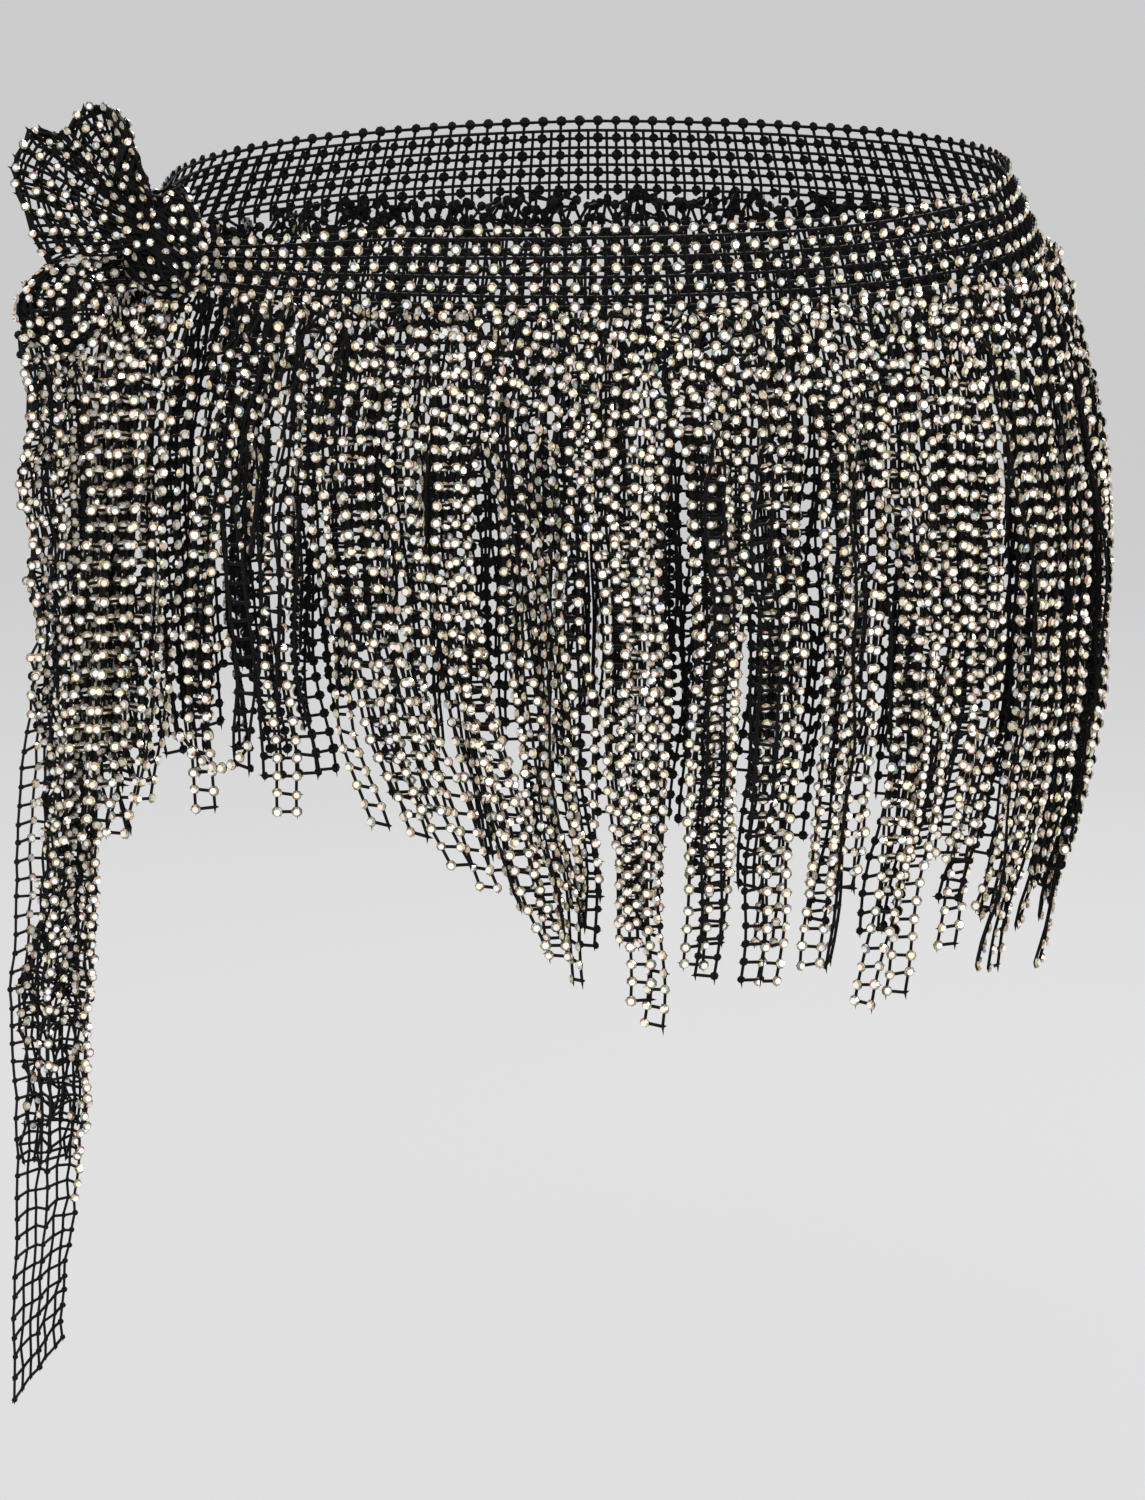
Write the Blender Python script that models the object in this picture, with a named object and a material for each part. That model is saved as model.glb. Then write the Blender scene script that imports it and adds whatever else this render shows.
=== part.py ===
"""Belly dance hip scarf: a band of open net tied at one hip, with a fringe of narrow net strips.

Metres, +Z up, -Y towards the viewer. Sizes below are in millimetres. The origin is the middle of
the tied band, where the hips hold it. Angles are degrees round the hips, from +X towards -Y.
"""

import math

import bmesh
import bpy
import numpy as np

MM = 0.001

# The figure under the cloth, ring by ring: height, half width, depth to the front and to the back.
HIP_RINGS = (
    ("height", "half_width", "front", "back"),
    (-270.0, 146.0, 107.0, 100.0),
    (-234.0, 153.0, 109.0, 108.0),
    (-192.0, 165.0, 111.0, 118.0),
    (-158.0, 170.0, 112.0, 125.0),
    (-117.0, 171.5, 112.5, 128.0),
    (-89.0, 170.5, 112.0, 126.0),
    (-55.0, 166.0, 111.0, 121.0),
    (-14.0, 155.0, 108.0, 110.0),
    (17.0, 141.0, 103.0, 99.0),
    (34.0, 134.0, 100.0, 94.0),
)
HIP_ROUNDNESS = 2.2

# The tied band: where its middle runs, how wide it is there, and how deep its gathers are.
BAND_RUN = (
    ("angle", "middle", "width", "gather"),
    (-208.0, -6.0, 17.0, 2.0),
    (-195.0, -4.0, 22.0, 1.5),
    (-170.0, 0.0, 29.0, 0.0),
    (-90.0, 6.0, 30.0, 0.0),
    (0.0, 5.0, 30.0, 0.0),
    (60.0, 1.0, 30.0, 0.0),
    (90.0, 0.0, 30.0, 0.0),
    (115.0, -1.0, 28.0, 0.0),
    (135.0, -4.0, 21.0, 1.4),
    (148.0, -6.0, 17.0, 2.0),
)
BAND_WALL = 1.6
BAND_STEP = 14.0
BAND_ROWS = 8
GATHER_WAVES = 1.5
FRONT_SPAN = (148.0, 0.1)
BACK_SPAN = (-0.1, -208.0)

# The fringe: strips one net cell wide, in two layers, each hung from its own narrow backing.
STRIP_WIDTH = 6.4
STRIP_THICKNESS = 1.5
STRIP_PITCH = 14.0
STRIP_STATIONS = 6
BACKING_HEIGHT = 3.6
SEAM = 0.35
FRINGE_LAYERS = (
    ("name", "root_out", "hang_out", "swing_share", "pitches_on"),
    ("inner", 0.0, 1.2, 0.7, 0.0),
    ("outer", 2.0, 5.0, 1.0, 0.5),
)
FRONT_FRINGE = (139.5, 0.15)
BACK_FRINGE = (-0.15, -205.0)
BACKING_END = 3.9
HANG_DROP = 60.0

# How long the strips are from each angle on, going down from the knot round the front and back.
STRIP_LENGTHS = (
    ("from_angle", "length", "uneven"),
    (150.0, 172.0, 6.0),
    (131.5, 92.0, 6.0),
    (126.5, 172.0, 5.0),
    (121.0, 184.0, 8.0),
    (112.0, 205.0, 12.0),
    (100.0, 214.0, 22.0),
    (20.0, 220.0, 22.0),
    (-10.0, 212.0, 22.0),
    (-95.0, 188.0, 14.0),
    (-150.0, 180.0, 12.0),
)

# How far a strip has swung towards +X at SWING_DROP down, by the place of its root.
STRIP_SWING = (
    ("root_x", "swing"),
    (-150.0, -8.0),
    (-92.0, 0.0),
    (-84.0, 42.0),
    (-36.0, 27.0),
    (30.0, 0.0),
    (120.0, -1.0),
    (160.0, 0.0),
)
SWING_DROP = 200.0

# The stretch across the front where the outer layer has no strips: the swept ones pass there.
OUTER_CLEARING = (-30.0, 6.0)

# The knot: a squat lump of wraps, lying on the band.
KNOT_ANGLE = 150.0
KNOT_OUT = 15.6
KNOT_RADII = (17.0, 10.5, 16.5)
KNOT_WRAPS = 3
KNOT_GROOVE = 0.07
KNOT_RINGS = 14
KNOT_SIDES = 24

# The spread end above the knot, along its free rim.
FAN_RIM = (
    ("x", "y", "z"),
    (-181.0, -72.0, -3.0),
    (-187.0, -76.0, 9.0),
    (-193.0, -72.0, 26.0),
    (-187.0, -67.0, 39.0),
    (-177.0, -64.0, 37.5),
    (-171.0, -67.0, 46.0),
    (-160.0, -72.0, 48.0),
    (-154.5, -80.0, 40.0),
    (-160.0, -86.0, 29.0),
)
FAN_WALL = 1.4
FAN_PLEATS = 4
FAN_PLEAT_DEPTH = 3.0
FAN_ROOT_TURN = (60.0, 40.0)
FAN_ROOT_RISE = (8.0, 52.0)
FAN_ACROSS = 32
FAN_ALONG = 6

# The long end: it leaves the knot, folds over and hangs. Sections from the knot to the tip.
TAIL_SECTIONS = (
    ("x", "y", "z", "width", "roll", "fold"),
    (-163.5, -66.0, -8.0, 11.0, 80.0, 1.2),
    (-172.0, -66.0, -10.5, 14.0, 72.0, 2.0),
    (-181.0, -64.0, -19.0, 20.0, 42.0, 3.0),
    (-182.5, -61.0, -32.0, 20.0, 12.0, 4.0),
    (-179.0, -59.5, -52.0, 21.0, 2.0, 4.6),
    (-179.0, -59.0, -90.0, 23.0, 0.0, 5.0),
    (-178.0, -59.0, -140.0, 22.0, 0.0, 5.0),
    (-181.0, -59.0, -190.0, 27.0, 0.0, 5.0),
    (-182.5, -59.0, -228.0, 26.5, 0.0, 5.0),
    (-184.5, -59.0, -262.0, 26.5, 0.0, 5.0),
    (-184.5, -59.0, -296.0, 23.0, 0.0, 4.5),
    (-186.5, -58.0, -330.0, 20.0, 0.0, 4.0),
    (-189.5, -57.0, -362.0, 17.0, 0.0, 3.0),
    (-189.5, -57.0, -378.0, 16.0, 0.0, 2.5),
)
TAIL_TIP_SLANT = 22.0
TAIL_SLANT_STARTS = 0.75
TAIL_FOLDS = 2
TAIL_ROOT_STEPS = 3
TAIL_ROOT_TURN = 150.0
TAIL_ROOT_LOW = -52.0
TAIL_ROOT_SPREAD = 40.0
TAIL_WALL = 1.4
TAIL_ACROSS = 14
TAIL_ALONG = 26

# The bundle of strips that hangs from under the knot, in rows one behind the other.
BUNDLE_ROWS = (
    ("y", "first_x", "strips", "length", "forward"),
    (-71.2, -164.5, 4, 186.0, 3.0),
    (-69.3, -160.5, 3, 160.0, 0.0),
)
BUNDLE_PITCH = 8.4
BUNDLE_TOP = -16.6
BUNDLE_SWING = -15.0
BUNDLE_END = 1.0
BUNDLE_TAPER = 0.1
BUNDLE_UNEVEN = 6.0

NET_BLACK = (0.012, 0.011, 0.013, 1.0)
STONE_FACE = (0.62, 0.64, 0.66, 1.0)


def column(rows, name):
    """The numbers in one named column of a table, whose first row holds the names."""
    return [row[rows[0].index(name)] for row in rows[1:]]


def look_up(rows, name, at):
    """A named column at a place on the table's first column, straight between its rows."""
    places, values = column(rows, rows[0][0]), column(rows, name)
    return float(np.interp(at, places, values))


def jitter(number, channel):
    """A fixed number from -1 to 1 that looks random, for one strip and one use."""
    wave = math.sin(number * 12.9898 + channel * 78.233) * 43758.5453
    return 2.0 * (wave - math.floor(wave)) - 1.0


def eased(value):
    """From 0 to 1 with a soft start and end."""
    value = min(max(value, 0.0), 1.0)
    return value * value * (3.0 - 2.0 * value)


def signed_power(value, power):
    return math.copysign(abs(value) ** power, value)


def hip_place(angle, height, out):
    """The point that lies out from the figure at this angle and height, and the way out."""
    half_width = look_up(HIP_RINGS, "half_width", height)
    facing = math.sin(math.radians(angle))
    depth = look_up(HIP_RINGS, "front" if facing > 0 else "back", height)
    across = signed_power(math.cos(math.radians(angle)), 2.0 / HIP_ROUNDNESS)
    ahead = signed_power(facing, 2.0 / HIP_ROUNDNESS)
    way = np.array(
        (
            signed_power(across, HIP_ROUNDNESS - 1.0) / half_width,
            -signed_power(ahead, HIP_ROUNDNESS - 1.0) / depth,
            0.0,
        )
    )
    way /= np.linalg.norm(way)
    return np.array((half_width * across, -depth * ahead, height)) + out * way, way


def arc_table(height):
    """Angles from the knot round the front and back, and how far along the ring each one is."""
    angles = np.linspace(160.0, -215.0, 1500)
    ring = np.array([hip_place(a, height, 0.0)[0] for a in angles])
    steps = np.linalg.norm(np.diff(ring, axis=0), axis=1)
    return angles, np.concatenate([[0.0], np.cumsum(steps)])


ARC_ANGLES, ARC_LENGTHS = arc_table(-14.0)


def distance_at(angle):
    return float(np.interp(-angle, -ARC_ANGLES, ARC_LENGTHS))


def angle_at(distance):
    return float(np.interp(distance, ARC_LENGTHS, ARC_ANGLES))


def make_object(name, points, faces, material):
    """One closed mesh from points in millimetres, its faces turned outward."""
    mesh = bpy.data.meshes.new(name)
    mesh.from_pydata([tuple(np.asarray(p) * MM) for p in points], [], faces)
    shape = bmesh.new()
    shape.from_mesh(mesh)
    bmesh.ops.recalc_face_normals(shape, faces=shape.faces)
    shape.to_mesh(mesh)
    shape.free()
    mesh.materials.append(material)
    thing = bpy.data.objects.new(name, mesh)
    bpy.context.scene.collection.objects.link(thing)
    return thing


def grid_faces(rows, columns):
    return [
        (
            r * columns + c,
            r * columns + c + 1,
            (r + 1) * columns + c + 1,
            (r + 1) * columns + c,
        )
        for r in range(rows - 1)
        for c in range(columns - 1)
    ]


def cloth_wall(name, grid, thickness, material):
    """A sheet through a grid of points, thickened evenly to both sides."""
    rows, columns = len(grid), len(grid[0])
    points = [p for row in grid for p in row]
    thing = make_object(name, points, grid_faces(rows, columns), material)
    solid = thing.modifiers.new("cloth thickness", "SOLIDIFY")
    solid.thickness = thickness * MM
    solid.offset = 0.0
    return thing


def band_panel(name, span, material):
    """One stretch of the band, gathered lengthwise where it runs into the knot."""
    start, end = span
    steps = max(2, round(abs(distance_at(start) - distance_at(end)) / BAND_STEP))
    distances = np.linspace(distance_at(start), distance_at(end), steps + 1)
    grid = []
    for distance in distances:
        angle = angle_at(distance)
        middle = look_up(BAND_RUN, "middle", angle)
        width = look_up(BAND_RUN, "width", angle)
        gather = look_up(BAND_RUN, "gather", angle)
        row = []
        for k in range(BAND_ROWS + 1):
            up = k / BAND_ROWS
            wave = gather * math.sin(2.0 * math.pi * GATHER_WAVES * up)
            height = middle + width * (up - 0.5)
            row.append(hip_place(angle, height, BAND_WALL / 2.0 + wave)[0])
        grid.append(row)
    return cloth_wall(name, grid, BAND_WALL, material)


def band_bottom(angle):
    return look_up(BAND_RUN, "middle", angle) - look_up(BAND_RUN, "width", angle) / 2.0


def strip_length(angle, number):
    """The length of the strip that hangs at this angle."""
    chosen = [row for row in STRIP_LENGTHS[1:] if angle <= row[0]][-1]
    return chosen[1] + chosen[2] * jitter(number, 1)


def strip_place(root_distance, side, drop, layer):
    """A corner of a strip, this far down, side millimetres from its middle, with the way out."""
    _, root_out, hang_out, share, _ = layer
    root_angle = angle_at(root_distance)
    root_x = hip_place(root_angle, -14.0, 0.0)[0][0]
    swing = 0.0
    if root_angle > 0.0:
        swing = share * look_up(STRIP_SWING, "swing", root_x) * (drop / SWING_DROP) ** 2
    angle = angle_at(root_distance + side + swing)
    top = band_bottom(root_angle) - SEAM - BACKING_HEIGHT
    out = root_out + (hang_out - root_out) * eased(drop / HANG_DROP)
    return angle, top - drop, out


def strip_roots(layer, start, end):
    """How far along the band the strips of one layer hang between two angles."""
    name, _, _, _, pitches_on = layer
    first, last = distance_at(start) + BACKING_END, distance_at(end) - BACKING_END
    gaps = round((last - first - STRIP_PITCH / 2.0) / STRIP_PITCH)
    pitch = (last - first) / (gaps + 0.5)
    roots = [first + pitch * (k + pitches_on) for k in range(gaps + 1)]
    return [r for r in roots if name == "inner" or not cleared(angle_at(r))]


def cleared(angle):
    """Whether the outer layer has no strip here, because the swept ones pass in front."""
    across = hip_place(angle, -14.0, 0.0)[0][0]
    return angle > 0.0 and OUTER_CLEARING[0] < across < OUTER_CLEARING[1]


def backing(sections):
    """A bar through four-cornered sections. Every second stretch is left open for a strip."""
    points = [corner for section in sections for corner in section]
    faces, openings = [(0, 1, 2, 3)], []
    for k in range(len(sections) - 1):
        a, b = 4 * k, 4 * (k + 1)
        bottom = (a + 3, b + 3, b + 2, a + 2)
        faces += [(a, a + 1, b + 1, b), (a + 1, a + 2, b + 2, b + 1), (a + 3, a, b, b + 3)]
        (openings if k % 2 else faces).append(bottom)
    last = 4 * (len(sections) - 1)
    faces.append((last, last + 1, last + 2, last + 3))
    return points, faces, openings


def hang_strip(points, faces, opening, stations):
    """Runs the four corners of an opening down through the stations and closes the end."""
    previous = opening
    for corners in stations:
        base = len(points)
        points.extend(corners)
        current = (base, base + 1, base + 2, base + 3)
        for k in range(4):
            n = (k + 1) % 4
            faces.append((previous[k], previous[n], current[n], current[k]))
        previous = current
    faces.append(tuple(previous))


def strip_drops(length):
    """How far down each station of a strip is."""
    return [length * step / (STRIP_STATIONS - 1) for step in range(1, STRIP_STATIONS)]


def fringe(name, layer, span, material):
    """A backing under the band's edge, with its strips hanging from it as one closed body."""
    start, end = span
    root_out = layer[1]
    roots = strip_roots(layer, start, end)
    half = STRIP_WIDTH / 2.0
    cuts = [distance_at(start)]
    for root in roots:
        cuts += [root - half, root + half]
    cuts.append(distance_at(end))
    sections = []
    for angle in map(angle_at, cuts):
        top = band_bottom(angle) - SEAM
        low, front = top - BACKING_HEIGHT, root_out + STRIP_THICKNESS
        corners = ((root_out, top), (front, top), (front, low), (root_out, low))
        sections.append([hip_place(angle, height, out)[0] for out, height in corners])
    points, faces, openings = backing(sections)
    for number, (opening, root) in enumerate(zip(openings, roots)):
        length = strip_length(angle_at(root), number + 100 * len(name))
        stations = []
        for drop in strip_drops(length):
            corners = []
            for side, lift in ((-half, 0.0), (half, 0.0), (half, 1.0), (-half, 1.0)):
                angle, height, out = strip_place(root, side, drop, layer)
                corners.append(hip_place(angle, height, out + lift * STRIP_THICKNESS)[0])
            stations.append(corners)
        hang_strip(points, faces, opening, stations)
    return make_object(name, points, faces, material)


def knot_frame():
    """The knot's middle, and its three ways: along the band, out from it, and up."""
    middle, out = hip_place(KNOT_ANGLE, 0.5, KNOT_OUT)
    up = np.array((0.0, 0.0, 1.0))
    return middle, np.cross(up, out), out, up


def knot_point(turn, rise, extra):
    """A point of the knot's skin, moved out by extra. turn goes round it, rise from pole to pole."""
    middle, along, out, up = knot_frame()
    wraps = math.cos(KNOT_WRAPS * (rise + 0.5 * math.sin(turn)) * 2.0)
    swell = 1.0 + KNOT_GROOVE * wraps * math.cos(rise) ** 0.5
    way = (
        math.cos(rise) * math.cos(turn) * KNOT_RADII[0] * along
        + math.cos(rise) * math.sin(turn) * KNOT_RADII[1] * out
        + math.sin(rise) * KNOT_RADII[2] * up
    ) * swell
    return middle + way + extra * way / np.linalg.norm(way)


def knot(name, material):
    points, faces = [knot_point(0.0, -math.pi / 2.0, 0.0)], []
    for ring in range(1, KNOT_RINGS):
        rise = -math.pi / 2.0 + math.pi * ring / KNOT_RINGS
        for side in range(KNOT_SIDES):
            points.append(knot_point(2.0 * math.pi * side / KNOT_SIDES, rise, 0.0))
    points.append(knot_point(0.0, math.pi / 2.0, 0.0))
    top = len(points) - 1
    for side in range(KNOT_SIDES):
        n = (side + 1) % KNOT_SIDES
        faces.append((0, 1 + n, 1 + side))
        for ring in range(KNOT_RINGS - 2):
            a, b = 1 + ring * KNOT_SIDES, 1 + (ring + 1) * KNOT_SIDES
            faces.append((a + side, a + n, b + n, b + side))
        a = 1 + (KNOT_RINGS - 2) * KNOT_SIDES
        faces.append((a + side, a + n, top))
    return make_object(name, points, faces, material)


def smooth_row(rows, place):
    """A row between the rows of a table, on a smooth curve through them."""
    rows = rows[1:]
    place = min(max(place, 0.0), len(rows) - 1.0)
    k = min(int(place), len(rows) - 2)
    t = place - k
    before = np.array(rows[max(k - 1, 0)])
    a, b = np.array(rows[k]), np.array(rows[k + 1])
    after = np.array(rows[min(k + 2, len(rows) - 1)])
    return 0.5 * (
        2.0 * a
        + (b - before) * t
        + (2.0 * before - 5.0 * a + 4.0 * b - after) * t * t
        + (3.0 * a - before - 3.0 * b + after) * t * t * t
    )


def fan_end(name, material):
    """The short end: gathered at the knot, pleated, and spread along its rim."""
    grid = []
    for j in range(FAN_ACROSS + 1):
        across = j / FAN_ACROSS
        rim = smooth_row(FAN_RIM, across * (len(FAN_RIM) - 2))
        turn = math.radians(FAN_ROOT_TURN[0] + FAN_ROOT_TURN[1] * math.sin(math.pi * across))
        rise = math.radians(FAN_ROOT_RISE[0] + FAN_ROOT_RISE[1] * across)
        root = knot_point(turn, rise, 0.6 + FAN_WALL / 2.0)
        row = []
        for i in range(FAN_ALONG + 1):
            along = i / FAN_ALONG
            pleat = FAN_PLEAT_DEPTH * math.sin(2.0 * math.pi * FAN_PLEATS * across)
            place = root + (rim - root) * along
            place[1] -= pleat * math.sin(math.pi * min(along * 0.8, 0.5)) * eased(along * 1.6)
            row.append(place)
        grid.append(row)
    return cloth_wall(name, grid, FAN_WALL, material)


def tail(name, material):
    """The long end, folded lengthwise, with its tip cut on a slant."""
    grid = []
    for i in range(TAIL_ALONG + 1):
        along = i / TAIL_ALONG
        x, y, z, width, roll, fold = smooth_row(TAIL_SECTIONS, along * (len(TAIL_SECTIONS) - 2))
        across_way = np.array((math.cos(math.radians(roll)), 0.0, math.sin(math.radians(roll))))
        free = eased(i / TAIL_ROOT_STEPS)
        slant = TAIL_TIP_SLANT * eased((along - TAIL_SLANT_STARTS) / (1.0 - TAIL_SLANT_STARTS))
        row = []
        for j in range(TAIL_ACROSS + 1):
            across = j / TAIL_ACROSS
            place = np.array((x, y, z)) + across_way * width * (across - 0.5)
            place[1] -= fold * math.cos(2.0 * math.pi * TAIL_FOLDS * across)
            place[2] -= slant * (1.0 - across)
            turn = math.radians(TAIL_ROOT_TURN)
            rise = math.radians(TAIL_ROOT_LOW + TAIL_ROOT_SPREAD * across)
            root = knot_point(turn, rise, SEAM + TAIL_WALL)
            row.append(root + (place - root) * free)
        grid.append(row)
    return cloth_wall(name, grid, TAIL_WALL, material)


def bundle(name, row, material):
    """A row of strips under the knot, on a backing of its own."""
    y, first_x, strips, length, forward = row
    half = STRIP_WIDTH / 2.0
    middles = [first_x + k * BUNDLE_PITCH for k in range(strips)]
    cuts = [first_x - half - BUNDLE_END]
    for middle in middles:
        cuts += [middle - half, middle + half]
    cuts.append(cuts[-1] + BUNDLE_END)
    low, front = BUNDLE_TOP - BACKING_HEIGHT, y - STRIP_THICKNESS
    corners = ((y, BUNDLE_TOP), (front, BUNDLE_TOP), (front, low), (y, low))
    points, faces, openings = backing([[(x, *corner) for corner in corners] for x in cuts])
    for k, (opening, middle) in enumerate(zip(openings, middles)):
        reach = length * (1.0 - BUNDLE_TAPER * k / strips) + BUNDLE_UNEVEN * jitter(k, 7)
        stations = []
        for drop in strip_drops(reach):
            x = middle + BUNDLE_SWING * (drop / SWING_DROP) ** 2
            behind = y - forward * eased(drop / HANG_DROP)
            ahead = behind - STRIP_THICKNESS
            corners = ((x - half, behind), (x + half, behind), (x + half, ahead), (x - half, ahead))
            stations.append([(*corner, low - drop) for corner in corners])
        hang_strip(points, faces, opening, stations)
    return make_object(name, points, faces, material)


def cloth_material(name, colour, roughness, metallic):
    material = bpy.data.materials.new(name)
    material.use_nodes = True
    shader = material.node_tree.nodes["Principled BSDF"]
    shader.inputs["Base Color"].default_value = colour
    shader.inputs["Roughness"].default_value = roughness
    shader.inputs["Metallic"].default_value = metallic
    return material


def main():
    for thing in list(bpy.data.objects):
        bpy.data.objects.remove(thing)
    net = cloth_material("net_black", NET_BLACK, 0.75, 0.0)
    stones = cloth_material("stoned_net", STONE_FACE, 0.25, 0.0)
    band_panel("band_front", FRONT_SPAN, stones)
    band_panel("band_back", BACK_SPAN, stones)
    for layer in FRINGE_LAYERS[1:]:
        fringe("fringe_front_" + layer[0], layer, FRONT_FRINGE, stones)
        fringe("fringe_back_" + layer[0], layer, BACK_FRINGE, stones)
    knot("knot", stones)
    fan_end("fan_end", net)
    tail("tail", net)
    for number, row in enumerate(BUNDLE_ROWS[1:], 1):
        bundle(f"side_fringe_{number}", row, stones)


main()
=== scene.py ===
# %% [markdown]
# # Belly dance hip scarf
#
# The real object is one length of open net, tied at the hip. A stone sits on every knot of the
# net. Below the band the net is cut into ladders, two knots wide, and these are the fringe.
# Everything here is real geometry: threads, knots and stones. A picture of a net on a flat wall
# would be quicker, but it has no depth, no ragged edge and no sparkle when the view turns.

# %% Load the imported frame
import math

import bpy
import numpy as np
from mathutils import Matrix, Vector


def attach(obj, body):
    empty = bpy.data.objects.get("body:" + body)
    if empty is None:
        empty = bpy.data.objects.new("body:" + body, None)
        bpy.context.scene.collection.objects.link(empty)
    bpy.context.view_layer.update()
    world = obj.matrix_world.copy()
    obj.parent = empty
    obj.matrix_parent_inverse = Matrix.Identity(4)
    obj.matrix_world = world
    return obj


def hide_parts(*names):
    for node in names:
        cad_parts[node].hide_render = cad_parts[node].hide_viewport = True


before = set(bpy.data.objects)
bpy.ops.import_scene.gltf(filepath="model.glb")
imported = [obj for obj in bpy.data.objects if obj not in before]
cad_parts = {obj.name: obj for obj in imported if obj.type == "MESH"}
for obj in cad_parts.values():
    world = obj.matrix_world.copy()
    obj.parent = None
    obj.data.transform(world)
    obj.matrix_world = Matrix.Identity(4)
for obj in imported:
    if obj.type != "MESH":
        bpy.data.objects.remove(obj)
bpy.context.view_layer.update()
print("nodes:", sorted(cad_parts))

# %% [markdown]
# ## The figure and the band
#
# All pieces hang on the same general figure, given ring by ring. A table with a column for each
# size is easy to read and to change. Lengths in the tables are millimetres, and MM turns them
# into Blender's metres at the very end, when a mesh is made.

# %% The figure's rings and the band's run
MM = 0.001
HIP_RINGS = (
    ("height", "half_width", "front", "back"),
    (-270.0, 146.0, 107.0, 100.0),
    (-234.0, 153.0, 109.0, 108.0),
    (-192.0, 165.0, 111.0, 118.0),
    (-158.0, 170.0, 112.0, 125.0),
    (-117.0, 171.5, 112.5, 128.0),
    (-89.0, 170.5, 112.0, 126.0),
    (-55.0, 166.0, 111.0, 121.0),
    (-14.0, 155.0, 108.0, 110.0),
    (17.0, 141.0, 103.0, 99.0),
    (34.0, 134.0, 100.0, 94.0),
)
HIP_ROUNDNESS = 2.2
BAND_RUN = (
    ("angle", "middle", "width", "gather"),
    (-208.0, -6.0, 17.0, 2.0),
    (-195.0, -4.0, 22.0, 1.5),
    (-170.0, 0.0, 29.0, 0.0),
    (-90.0, 6.0, 30.0, 0.0),
    (0.0, 5.0, 30.0, 0.0),
    (60.0, 1.0, 30.0, 0.0),
    (90.0, 0.0, 30.0, 0.0),
    (115.0, -1.0, 28.0, 0.0),
    (135.0, -4.0, 21.0, 1.4),
    (148.0, -6.0, 17.0, 2.0),
)
GATHER_WAVES = 1.5
FULL_WIDTH = 30.0


def column(rows, name):
    """The numbers in one named column of a table, whose first row holds the names."""
    return [row[rows[0].index(name)] for row in rows[1:]]


def look_up(rows, name, at):
    """A named column at a place on the table's first column, straight between its rows."""
    return float(np.interp(at, column(rows, rows[0][0]), column(rows, name)))


print("band rows:", len(BAND_RUN) - 1, "figure rings:", len(HIP_RINGS) - 1)

# %% A place on the figure, and the way out from it


def unit(vectors):
    """The same ways, each of length 1."""
    return vectors / np.maximum(np.linalg.norm(vectors, axis=-1, keepdims=True), 1e-9)


def signed_power(value, power):
    return math.copysign(abs(value) ** power, value)


def hip_place(angle, height, out):
    """The point that lies out from the figure at this angle and height, and the way out."""
    half_width = look_up(HIP_RINGS, "half_width", height)
    facing = math.sin(math.radians(angle))
    depth = look_up(HIP_RINGS, "front" if facing > 0 else "back", height)
    across = signed_power(math.cos(math.radians(angle)), 2.0 / HIP_ROUNDNESS)
    ahead = signed_power(facing, 2.0 / HIP_ROUNDNESS)
    to_side = signed_power(across, HIP_ROUNDNESS - 1.0) / half_width
    to_front = signed_power(ahead, HIP_ROUNDNESS - 1.0) / depth
    way = unit(np.array((to_side, -to_front, 0.0)))
    return np.array((half_width * across, -depth * ahead, height)) + out * way, way


RING_HEIGHT, ARC_STEPS = -14.0, 1500
ARC_ANGLES = np.linspace(160.0, -215.0, ARC_STEPS)
ARC_RING = np.array([hip_place(a, RING_HEIGHT, 0.0)[0] for a in ARC_ANGLES])
ARC_LENGTHS = np.concatenate([[0.0], np.cumsum(np.linalg.norm(np.diff(ARC_RING, axis=0), axis=1))])


def distance_at(angle):
    return float(np.interp(-angle, -ARC_ANGLES, ARC_LENGTHS))


def angle_at(distance):
    return float(np.interp(distance, ARC_LENGTHS, ARC_ANGLES))


print("once round the band:", round(distance_at(-200.0) - distance_at(160.0)), "mm")

# %% [markdown]
# ## Chance that repeats
#
# Cloth is never even, so strips differ in length, twist and sway. The numbers must come out the
# same each run. A sine with a large factor gives a number that looks random but depends only on
# the strip's number and on what it is used for, so each use has a channel of its own. Where
# numpy draws many numbers at once, a seed for each kind of piece does the same.

# %% Fixed jitter, soft steps and slow waves
CHANNELS = {
    "length": 1, "edge": 3, "side length": 7, "lean": 11, "stretch": 12, "turn": 13, "phase": 14,
    "root turn": 15, "aside": 17, "root aside": 19, "out": 21, "root out": 23, "tilt": 25,
    "droop": 27, "reach": 29, "end aside": 31, "end drop": 33, "last stone": 35, "turned over": 36,
    "knot turn": 41, "knot rise": 42, "bare": 51, "parting": 61, "push": 62, "start": 63,
    "lag": 64, "slope": 65,
}
SEEDS = {
    "band": 11, "loops": 29, "fringe": 31, "fan net": 60, "tail net": 64, "knot": 71, "fan": 73,
    "tail": 75, "tail backs": 77, "puff": 79, "side": 80, "puff net": 90,
}


def jitter(number, channel, extra=0):
    """A fixed number from -1 to 1 that looks random."""
    wave = math.sin(number * 12.9898 + (CHANNELS[channel] + extra) * 78.233) * 43758.5453
    return 2.0 * (wave - math.floor(wave)) - 1.0


def eased(value):
    """A soft step: 0 below 0, 1 above 1, and smooth between them."""
    value = min(max(value, 0.0), 1.0)
    return value * value * (3.0 - 2.0 * value)


def sway(number, channel, at, wavelength):
    """A slow wave along a strip, from about -1 to 1, different for each strip."""
    first = math.sin(2.0 * math.pi * (at / wavelength + jitter(number, channel)))
    second = math.sin(2.0 * math.pi * (1.7 * at / wavelength + jitter(number, channel, 1)))
    return 0.6 * first + 0.4 * second


print("jitter of strip 3:", round(jitter(3, "length"), 3))
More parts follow.
